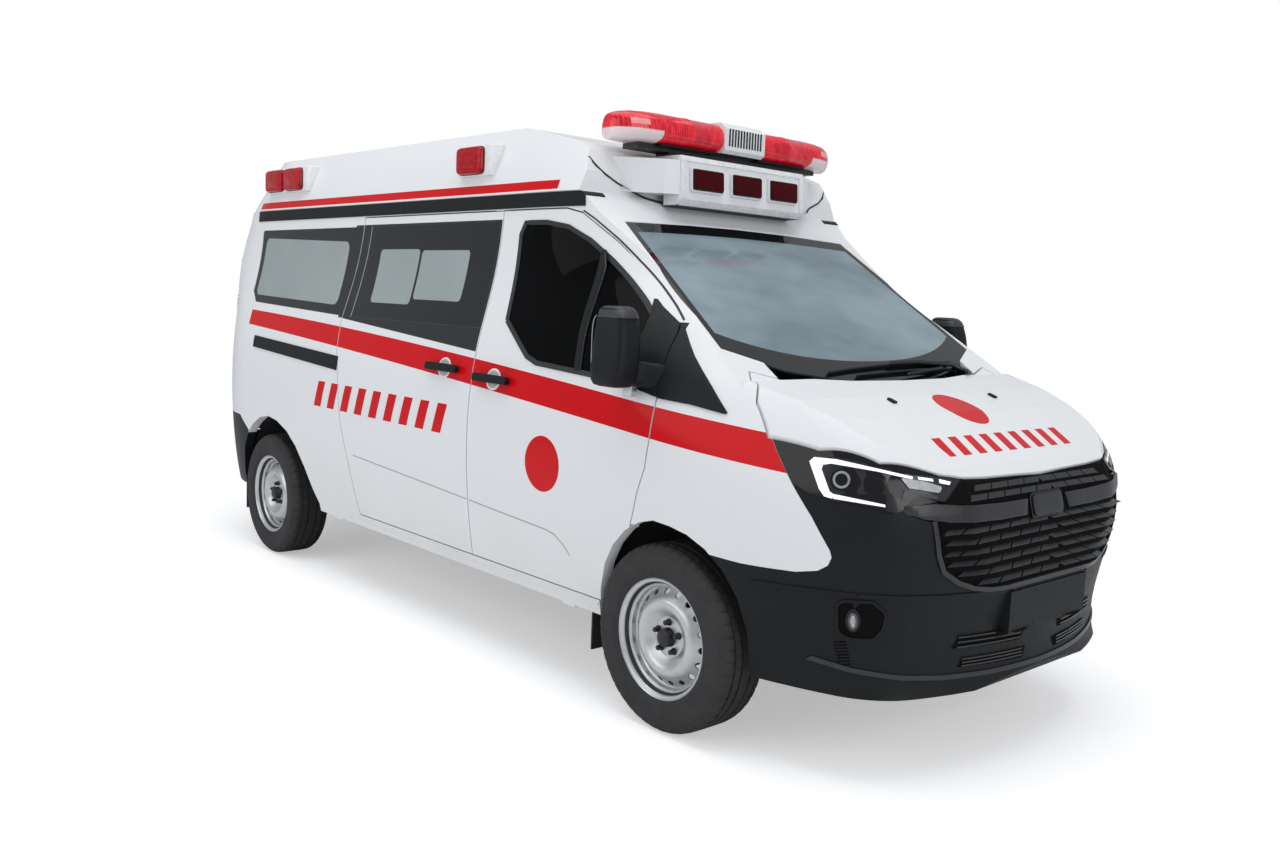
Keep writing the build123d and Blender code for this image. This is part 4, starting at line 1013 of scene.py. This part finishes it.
# --- sails in front of the door windows
DOOR_SAIL = [(654.9, 294.1), (662.9, 306.5), (1.5905, 1.471), (1.6060, 1.435), (1.6395, 1.210), (640.2, 390.9),
             (630.0, 386.0), (630.0, 362.0), (635.0, 345.0), (643.5, 330.0), (650.0, 314.0), (653.0, 302.0)]
WING_SAIL = [(1.5950, 1.474), (1.6020, 1.470), (694.0, 356.0), (711.0, 386.0), (724.0, 408.5), (726.8, 413.0),
             (725.0, 414.2), (715.0, 411.5), (690.0, 404.5), (1.6440, 1.207), (1.6100, 1.435)]
shield("door_sail", DOOR_SAIL, (1.44, 1.63, 1.19, 1.53), "front_door_right",
       ("front_door_right_body", "front_door_left_body"))
shield("wing_sail", WING_SAIL, (1.61, 1.98, 1.17, 1.46), "front_wings cab_frame", ("body", "body"))

# --- door mirrors: head, grey cap, glass, arm, groove, bracket
# height, half width across, half length, centre X
HEAD_ROWS = [(1.238, 0.030, 0.052, 1.520), (1.244, 0.047, 0.071, 1.520), (1.260, 0.056, 0.081, 1.520),
             (1.300, 0.060, 0.085, 1.520), (1.370, 0.060, 0.084, 1.519), (1.440, 0.057, 0.079, 1.514),
             (1.490, 0.052, 0.071, 1.508), (1.514, 0.045, 0.060, 1.503), (1.524, 0.030, 0.042, 1.500)]
CAP_ROWS = [(1.482, 0.0530, 0.0725, 1.509), (1.506, 0.0478, 0.064, 1.5045), (1.519, 0.0375, 0.052, 1.501),
            (1.5235, 0.022, 0.034, 1.4995)]
ARM_ROWS = [(1.020, 1.534, 1.288, 0.052, 0.046), (1.000, 1.538, 1.288, 0.054, 0.046),
            (0.975, 1.548, 1.284, 0.058, 0.047), (0.955, 1.560, 1.278, 0.066, 0.050),
            (0.925, 1.566, 1.270, 0.076, 0.056)]
MIRROR_OUTER_Y = 1.134


def head_ring(s, z, hy, hx, xc, over=0):
    """Level ring of a mirror head, or of the cap over it."""
    yc = min(1.054 + (1.40 - z) * 0.09, MIRROR_OUTER_Y - hy)
    return [(u + over * 0.002, s * v, z + over * 0.001)
            for u, v in oval(xc, yc, hx + over * 0.0012, hy + over * 0.0006, 4.2)]


for s, side in SIDES:
    body = "front_door_" + side + "_body"
    head = loft("mirror_head_" + side, [head_ring(s, *row) for row in HEAD_ROWS], "black_trim", body, "black_trim")
    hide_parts("mirror_" + side)
    loft("mirror_cap_" + side, [head_ring(s, *row, over=1) for row in CAP_ROWS], "cap_grey", body, "black_trim")
    face = [[(1.4385 - back, s * v, z) for v, z in oval(1.057, 1.380, 0.046, 0.112, 4.0)] for back in (0.0, 0.004)]
    loft("mirror_glass_" + side, face, "mirror_face", body, "window_glass")
    arm = [[(u, s * y, v) for u, v in oval(xc, zc, hx, hz, 5.0)] for y, xc, zc, hx, hz in ARM_ROWS]
    loft("mirror_arm_" + side, arm, "black_trim", body, "black_trim")
    strip("mirror_groove_" + side, [(1.478, 1.262), (1.560, 1.262)], 0.02, 0.003, side, "front_door_" + side, "seal",
          0.0, 0.001, body)
    y0, y1 = sorted((s * 0.990, s * 1.022))
    extrude_poly("mirror_bracket_" + side, [(x, y, 1.206) for x, y in quad(1.520, y0, 1.566, y1)],
                 (0, 0, 1.256 - 1.206), "steel_plate", body, 0.004)

# --- light bar lenses and trays
BAR_X, BAR_LOW, BAR_TOP = 0.970, 2.192, 2.3195
# offset from the middle, share of the full length, drop of the top
LENS_ROWS = [(0.1285, 1.0, 0.0), (0.300, 1.0, 0.0), (0.304, 1.015, 0.002), (0.312, 1.015, 0.002), (0.316, 1.0, 0.0),
             (0.470, 0.985, 0.0), (0.540, 0.93, -0.002), (0.600, 0.80, -0.006), (0.640, 0.62, -0.013),
             (0.662, 0.44, -0.022), (0.6735, 0.26, -0.033)]
for s, side in SIDES:
    rings = []
    for y, w, dz in LENS_ROWS:
        top = BAR_TOP + dz
        cz, hz = 0.5 * (BAR_LOW + top), 0.5 * (top - BAR_LOW)
        rings.append([(BAR_X + u * (1.0 - 0.16 * max(0.0, v / hz)), s * y, cz + v)
                      for u, v in oval(0.0, 0.0, 0.126 * w, hz, 3.2, 40)])
    ob = loft("bar_lens_" + side, rings, "lens_shell", "body", "red_lens", 50)
    if s < 0:
        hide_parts("light_bar_lenses")
    tray = [[(BAR_X + u, s * y, v) for u, v in oval(0.0, 2.189, 0.108 * w, 0.006, 5.0, 24)]
            for y, w in ((0.13, 0.9), (0.40, 0.88), (0.46, 0.8))]
    loft("bar_tray_" + side, tray, "black_trim", "body", "black_trim")

# --- lamp box on the roof: frame, three lamps, seams
for o in (quad(-0.392, 1.952, 0.392, 1.974), quad(-0.392, 2.130, 0.392, 2.148), quad(-0.392, 1.974, -0.362, 2.130),
          quad(0.362, 1.974, 0.392, 2.130)):
    plate("lamp_box_frame", o, "front", "roof_lamp_box", "white_part", -0.001, 0.009, 0.3, slot="white_body",
          bevel=0.002)
for k, yc in enumerate((-0.242, 0.0, 0.242)):
    hw, z0, z1 = 0.098, 2.006, 2.108
    for nm, g, mat, lift, thick, r in (("base", 0.0, "white_part", 0.0, 0.014, 0.012),
                                       ("gasket", 0.007, "seal", 0.014, 0.004, 0.009),
                                       ("lens", 0.012, "dark_red", 0.016, 0.009, 0.008)):
        o = fillet(quad(yc - hw + g, z0 + g, yc + hw - g, z1 - g), r)
        plate("box_lamp_%s_%d" % (nm, k), o, "front", "roof_lamp_box", mat, lift, thick, 0.3,
              slot="red_lens" if nm == "lens" else "white_body", bevel=0.002)
ROOF_FRONT = "roof_raised cab_frame roof_lamp_box"
SEAM = [(95, 222), (120, 252), (150, 280), (190, 310), (240, 340), (285, 362), (330, 375), (395, 384)]
strip("box_seam", crop(SEAM, 560, 90, 3.333), None, 1.6, "photo", ROOF_FRONT, "seal", 0.0, 0.003, **PAIR)
strip("box_seam_front", [(-0.396, 1.9465), (0.396, 1.9465)], 0.05, 0.006, "front", ROOF_FRONT, "seal", 0.0, 0.003)

# Slots in the light bar's cover
parts = []
for y in (-0.099 + k * 0.018 for k in range(12)):
    o = fillet(quad(y - 0.0048, 2.222, y + 0.0048, 2.296), 0.003)
    parts += plate("bar_slot", o, "front", "light_bar", "lamp_dark", 0.0002, 0.0010, 0.3)
joined("bar_louvre_slots", parts)

# --- lamps on the roof sides: wedge housings that stand upright
for s, view in SIDES:
    for nm, xc, w, z0, z1, tail in (("front", 0.200, 0.210, 2.070, 2.196, 0.050),
                                    ("rear_a", -1.625, 0.228, 2.078, 2.206, 0.050),
                                    ("rear_b", -1.868, 0.228, 2.078, 2.206, 0.010)):
        low, _ = land("roof_raised", view, xc, z0)
        top, _ = land("roof_raised", view, xc, z1 + 0.012)
        yf = abs(low.y) + 0.022
        x0, x1 = xc - w / 2 - 0.008, xc + w / 2 + tail
        wedge = [(x0, s * yf, z0 - 0.004), (x0, s * yf, z1 + 0.004), (x0, s * (abs(top.y) - 0.012), z1 + 0.012),
                 (x0, s * (abs(low.y) - 0.030), z0 - 0.008)]
        ob = extrude_poly("side_lamp_housing_%s_%s" % (nm, view), wedge, (x1 - x0, 0, 0), "white_part", "body", 0.006,
                          "white_body")
        if (view, nm) == ("right", "front"):
            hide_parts("roof_side_lamps")
        for part, y0, rows, mat in (
            ("gasket", yf - 0.002, ((0.0, 1.0), (0.005, 0.99)), "seal"),
            ("lens", yf + 0.002, ((0.0, 0.95), (0.014, 0.94), (0.019, 0.90), (0.021, 0.80)), "side_lens"),
            ("core", yf + 0.021, ((0.0, 0.62), (0.004, 0.58)), "side_lens"),
        ):
            rings = [[(u, s * (y0 + out), v)
                      for u, v in oval(xc, 0.5 * (z0 + z1), w / 2 * k, (z1 - z0) / 2 * k, 7.0, 40)] for out, k in rows]
            loft("side_lamp_%s_%s_%s" % (part, nm, view), rings, mat, "body",
                 "black_trim" if part == "gasket" else "red_lens")

# --- door windows and handles
WINDOW = [(0.650, 1.439), (0.622, 1.800), (0.648, 1.850), (0.790, 1.849), (0.915, 1.830), (1.040, 1.775),
          (1.165, 1.698), (1.290, 1.615), (1.400, 1.540), (1.490, 1.472), (1.468, 1.262), (1.289, 1.258),
          (0.919, 1.278), (0.847, 1.300)]


def handle(tag, x0, x1, zc, view, node, body, foot):
    """Pull handle over a round bowl, body white greyed by painted shade."""
    xc = 0.5 * (x0 + x1)
    plate("handle_cup_" + tag, ellipse(xc, zc, 0.052, 0.046, 28), view, node, "white_part", 0.0, 0.003, 0.3, body,
          slot="white_body", bevel=0.001)
    # the bowl's grey is painted shade on body white
    plate("handle_bowl_" + tag, ellipse(xc, zc, 0.043, 0.037, 28), view, node, "bowl_shade_grey", 0.003, 0.0006, 0.3, body,
          slot="white_body")
    plate("handle_bar_" + tag, fillet(quad(x0, zc - 0.017, x1, zc + 0.017), 0.015, 5), view, node, "black_trim", 0.014,
          0.016, 0.05, body, slot="black_trim", bevel=0.006)
    for x in (x0 + 0.022, x1 - 0.022):
        plate(foot, ellipse(x, zc, 0.014, 0.012, 16), view, node, "black_trim", 0.0, 0.016, 0.3, body,
              slot="black_trim")


for side in ("right", "left"):
    door, glass = "front_door_" + side, "front_door_glass_" + side
    body = door + "_body"
    strip("window_seal_" + side, WINDOW + [WINDOW[0]], 0.03, 0.020, side, door + " " + glass, "seal", 0.0, 0.0035, body)
    strip("window_divider_" + side, [(1.181, 1.268), (1.117, 1.735)], 0.05, 0.030, side, glass, "black_trim", 0.0,
          0.006, body)
    strip("window_divider_edge_" + side, [(1.203, 1.268), (1.139, 1.722)], 0.05, 0.006, side, glass, "satin", 0.0,
          0.006, body)
    handle(side, 0.522, 0.768, 1.190, side, door, body, "handle_foot")
handle("slide", 0.132, 0.383, 1.210, "right", "sliding_door", "body", "handle_foot_slide")

# --- creases drawn as grey lines of painted shade, sill edges, pillar seams
CREASE_FRONT = [(0.492, 0.651), (0.8, 0.634), (1.05, 0.621), (1.10, 0.610), (1.15, 0.580), (1.19, 0.544)]
for side, wall in (("right", "sliding_door"), ("left", "side_wall_left")):
    door = "front_door_" + side
    # grey crease lines on the white sides are painted shade
    strip("crease_rear_" + side, [(-0.560, 0.706), (0.0, 0.677), (0.470, 0.652)], 0.06, 0.0045, side, wall, "crease_shade",
          -0.0008, 0.0014)
    strip("crease_front_" + side, CREASE_FRONT, 0.04, 0.0045, side, door, "crease_shade", -0.0008, 0.0014, door + "_body")
    strip("sill_edge_" + side, [(-0.68, 0.384), (1.345, 0.384)], 0.10, 0.010, side, "side_wall_" + side, "white", 0.0,
          0.004)
PILLAR = [(0.990, 1.894), (1.050, 1.861), (1.168, 1.784), (1.288, 1.698), (1.405, 1.618), (1.530, 1.530),
          (1.594, 1.482)]
for side in ("right", "left"):
    strip("pillar_seam_" + side, PILLAR, 0.03, 0.0065, side, "cab_frame roof_raised side_wall_%s front_wings" % side,
          "seal", 0.0, 0.0012, slot="black_trim")

# --- wipers and washer nozzles
for nm, line, width, lift, thick in (
    ("blade_0", [(827, 374.8), (850, 371), (880, 367.5), (915, 365), (948, 364.5)], 1.5, 0.002, 0.012),
    ("blade_1", [(856, 377.6), (885, 374.5), (915, 372), (945, 370.8), (968, 371.5)], 1.5, 0.002, 0.012),
    ("arm_0", [(968, 376), (950, 368), (915, 365.5), (888, 367)], 2.6, 0.014, 0.008),
    ("arm_1", [(905, 378), (925, 374), (940, 371.5)], 2.6, 0.014, 0.008),
):
    strip("wiper_" + nm, line, 6, width, "photo", "body_glass cowl hood", "black_trim", lift, thick)
for i, y in enumerate((-0.335, 0.335)):
    o = fillet([(2.19 - 0.016, y - 0.010), (2.19 + 0.018, y - 0.013), (2.19 + 0.018, y + 0.013),
                (2.19 - 0.016, y + 0.010)], 0.006)
    plate("washer_nozzle_%d" % i, o, "top", "hood", "black_trim", 0.0, 0.007, 0.3, "hood_body", slot="black_trim",
          bevel=0.002)

# --- seats: crowned cushions with seams, headrests, bases


def dent(d, width):
    """Bell curve of a distance."""
    return math.exp(-(d / width) ** 2)


def pad(name, at, half, lean, crown, seams_v, seams_u, pull=0.03, nose=0.0):
    """Crowned cushion. u runs along its length, v across the vehicle, w through it; lean is the angle of u from X."""
    a, b, c = half
    bm = bmesh.new()
    bmesh.ops.create_cube(bm, size=2.0)
    for ax, n in ((0, 44), (1, 44), (2, 10)):
        for i in range(1, n):
            bisect(bm, ax, -1 + 2 * i / n)
    r = min(0.036, c * 0.85)
    cl, sl = math.cos(lean), math.sin(lean)
    wx, wz = (sl, -cl) if lean > 0.8 else (-sl, cl)
    for v in bm.verts:
        p = Vector((v.co.x * a, v.co.y * b, v.co.z * c))
        core = Vector([max(-h + r, min(h - r, x)) for h, x in zip(half, p)])
        d = p - core
        if d.length > 1e-9:
            p = core + d.normalized() * r
        eu, ev = p.x / a, p.y / b
        fu, fv = max(0.0, 1 - eu * eu), max(0.0, 1 - ev * ev)
        if v.co.z > 0:
            # crown, raised side bolsters, seams pressed into the cover
            w = crown * (0.35 + 0.65 * fu) * (fv ** 0.35)
            w += 0.012 * dent(abs(ev) - 0.80, 0.13) * fu ** 0.5
            w += nose * max(0.0, eu) ** 3 * fv ** 0.3
            wrinkle = 0.0012 * math.sin(31 * eu + 9 * ev) * math.sin(17 * ev - 5 * eu) * fu * fv
            for sv in seams_v:
                d = (ev - sv) * b
                w -= (0.009 * dent(d, 0.0065) + 0.004 * dent(d, 0.022)) * min(1.0, fu * 5)
            for su in seams_u:
                d = (eu - su) * a
                w -= (0.008 * dent(d, 0.0065) + 0.004 * dent(d, 0.024)) * min(1.0, fv * 4)
            p.z += (w + wrinkle) * max(0.0, v.co.z) ** 0.6
        p.x -= math.copysign(pull * a * fv * abs(v.co.x) ** 6, p.x) * 0.5
        p.y -= math.copysign(pull * b * fu * abs(v.co.y) ** 6, p.y)
        edge = dent(v.co.z - 0.25, 0.09) * max(abs(v.co.x) ** 30, abs(v.co.y) ** 30)
        p.x -= math.copysign(0.004 * edge, p.x) if abs(v.co.x) > 0.98 else 0.0
        p.y -= math.copysign(0.004 * edge, p.y) if abs(v.co.y) > 0.98 else 0.0
        v.co = Vector((at[0] + p.x * cl + p.z * wx, at[1] + p.y, at[2] + p.x * sl + p.z * wz))
    me = bpy.data.meshes.new(name)
    bm.to_mesh(me)
    bm.free()
    ob = dress(add_object(name, me), "seat", "body", angle=80)
    return ob


for tag, sy, width in (("driver", 0.400, 0.500), ("middle", -0.230, 0.450), ("side", -0.650, 0.380)):
    hw = width / 2
    cushion = pad("seat_cushion_" + tag, (0.925, sy, 0.815), (0.262, hw - 0.004, 0.050), 0.035, 0.020, (-0.62, 0.62),
                  (-0.05, 0.55), nose=0.004)
    if tag == "driver":
        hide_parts("cab_seats")
    pad("seat_back_" + tag, (0.640, sy, 1.135), (0.298, hw - 0.018, 0.050), 1.790, 0.020, (-0.60, 0.60), (-0.35, 0.30))
    pad("seat_head_" + tag, (0.572, sy, 1.585), (0.092, 0.126, 0.042), 1.700, 0.010, (), (0.0,), pull=0.05)
    for q in (-0.055, 0.055):
        tube("seat_post_%s_%d" % (tag, q > 0), [(0.600, sy + q, 1.415), (0.592, sy + q, 1.46), (0.584, sy + q, 1.52)],
             0.0065, "steel", "wheel_steel")
    base = [[(0.905 + u, sy + v, z) for u, v in oval(0.0, 0.0, hx, hw - inset, 6.0)] for z, hx, inset in
            ((0.562, 0.184, 0.040), (0.566, 0.188, 0.036), (0.640, 0.180, 0.044), (0.752, 0.192, 0.034),
             (0.764, 0.188, 0.038))]
    loft("seat_base_" + tag, base, "cabin", "body", "cabin_plastic")
    if tag != "side":
        lever = [(0.86, sy - hw + 0.002, 0.79), (0.90, sy - hw - 0.006, 0.80), (0.95, sy - hw - 0.008, 0.803)]
        tube("seat_lever_" + tag, lever, [0.007, 0.010, 0.007], "cabin", "cabin_plastic")

# --- rear end: lamps, plate, handle, crease lines of painted shade, step ribs
for nm, z0, z1, mat in (("turn", 1.335, 1.450, "amber"), ("reverse", 1.085, 1.190, "lens_white")):
    plate("tail_lamp_" + nm, fillet(quad(-0.836, z0, -0.758, z1), 0.012), "rear", "tail_lamps", mat, 0.0, 0.004, 0.04,
          mirror=True, slot="lamp_glass", bevel=0.0015)
for k, zc in enumerate((1.204, 1.322, 1.072, 1.464)):
    strip("tail_lamp_bar_%d" % k, [(-0.752, zc), (-0.840, zc)], 0.03, 0.009, "rear", "tail_lamps", "black_gloss", 0.0,
          0.003, **PAIR)
ROOF_REAR = "roof_raised side_wall_left side_wall_right"
LEFT_DOOR, RIGHT_DOOR = "rear_door_left", "rear_door_right"
for nm, o, r, n, names, mat, lift, thick, slot, bevel in (
    ("high_stop_lamp_base", (-0.16, 1.925, 0.16, 1.958), 0.008, 4, ROOF_REAR, "black_trim", 0.0, 0.010, "black_trim",
     0.002),
    ("high_stop_lamp_lens", (-0.15, 1.931, 0.15, 1.952), 0.006, 4, ROOF_REAR, "dark_red", 0.010, 0.005, "red_lens",
     0.001),
    ("rear_plate_base", (0.085, 0.985, 0.625, 1.125), 0.012, 4, LEFT_DOOR, "black_trim", 0.0, 0.006, "black_trim",
     0.002),
    ("rear_plate_hood", (0.078, 1.130, 0.632, 1.172), 0.012, 4, LEFT_DOOR, "white_part", 0.0, 0.008, "white_body",
     0.005),
    ("rear_plate_lamp_0", (0.22 - 0.03, 1.124, 0.22 + 0.03, 1.132), 0.002, 4, LEFT_DOOR, "lens_white", 0.003, 0.005,
     "lamp_glass", 0.0),
    ("rear_plate_lamp_1", (0.49 - 0.03, 1.124, 0.49 + 0.03, 1.132), 0.002, 4, LEFT_DOOR, "lens_white", 0.003, 0.005,
     "lamp_glass", 0.0),
    ("rear_handle_cup", (-0.165, 1.085, -0.035, 1.165), 0.022, 6, RIGHT_DOOR, "cap_grey", 0.0, 0.004, "black_trim",
     0.001),
    ("rear_handle_bar", (-0.158, 1.112, -0.044, 1.140), 0.012, 5, RIGHT_DOOR, "black_trim", 0.002, 0.005, "black_trim",
     0.005),
):
    plate(nm, fillet(quad(*o), r, n), "rear", names, mat, lift, thick,
          body="body" if names == ROOF_REAR else names + "_body", slot=slot, bevel=bevel)
for k, y in enumerate((-0.140, -0.062)):
    plate("rear_handle_foot_%d" % k, ellipse(y, 1.126, 0.012, 0.011, 16), "rear", RIGHT_DOOR, "black_trim", 0.0, 0.006,
          0.3, RIGHT_DOOR + "_body", slot="black_trim")
strip("rear_centre_seal", [(-0.0090, 0.640), (-0.0090, 1.880)], 0.06, 0.007, "rear", RIGHT_DOOR, "seal", 0.0, 0.0012,
      RIGHT_DOOR + "_body")
for s, side in SIDES:
    door = "rear_door_" + side
    # grey crease lines on the rear doors are painted shade
    for nm, z in (("rear_crease_", 0.900), ("rear_crease_low_", 0.690)):
        strip(nm + side, [(s * 0.06, z), (s * 0.655, z)], 0.04, 0.0045, "rear", door, "crease_shade", 0.0, 0.0010,
              door + "_body")
parts = []
for y in (-0.50 + k * 0.10 for k in range(11)):
    o = fillet(quad(-2.662, y - 0.035, -2.590, y + 0.035), 0.01)
    parts += plate("step_rib", o, "top", "rear_bumper", "black_trim", 0.0, 0.0025)
joined("step_ribs", parts)
plate("bumper_reflector", fillet(quad(-0.820, 0.500, -0.740, 0.536), 0.008), "rear", "rear_bumper", "dark_red", 0.0,
      0.003, 0.04, mirror=True, slot="red_lens", bevel=0.001)
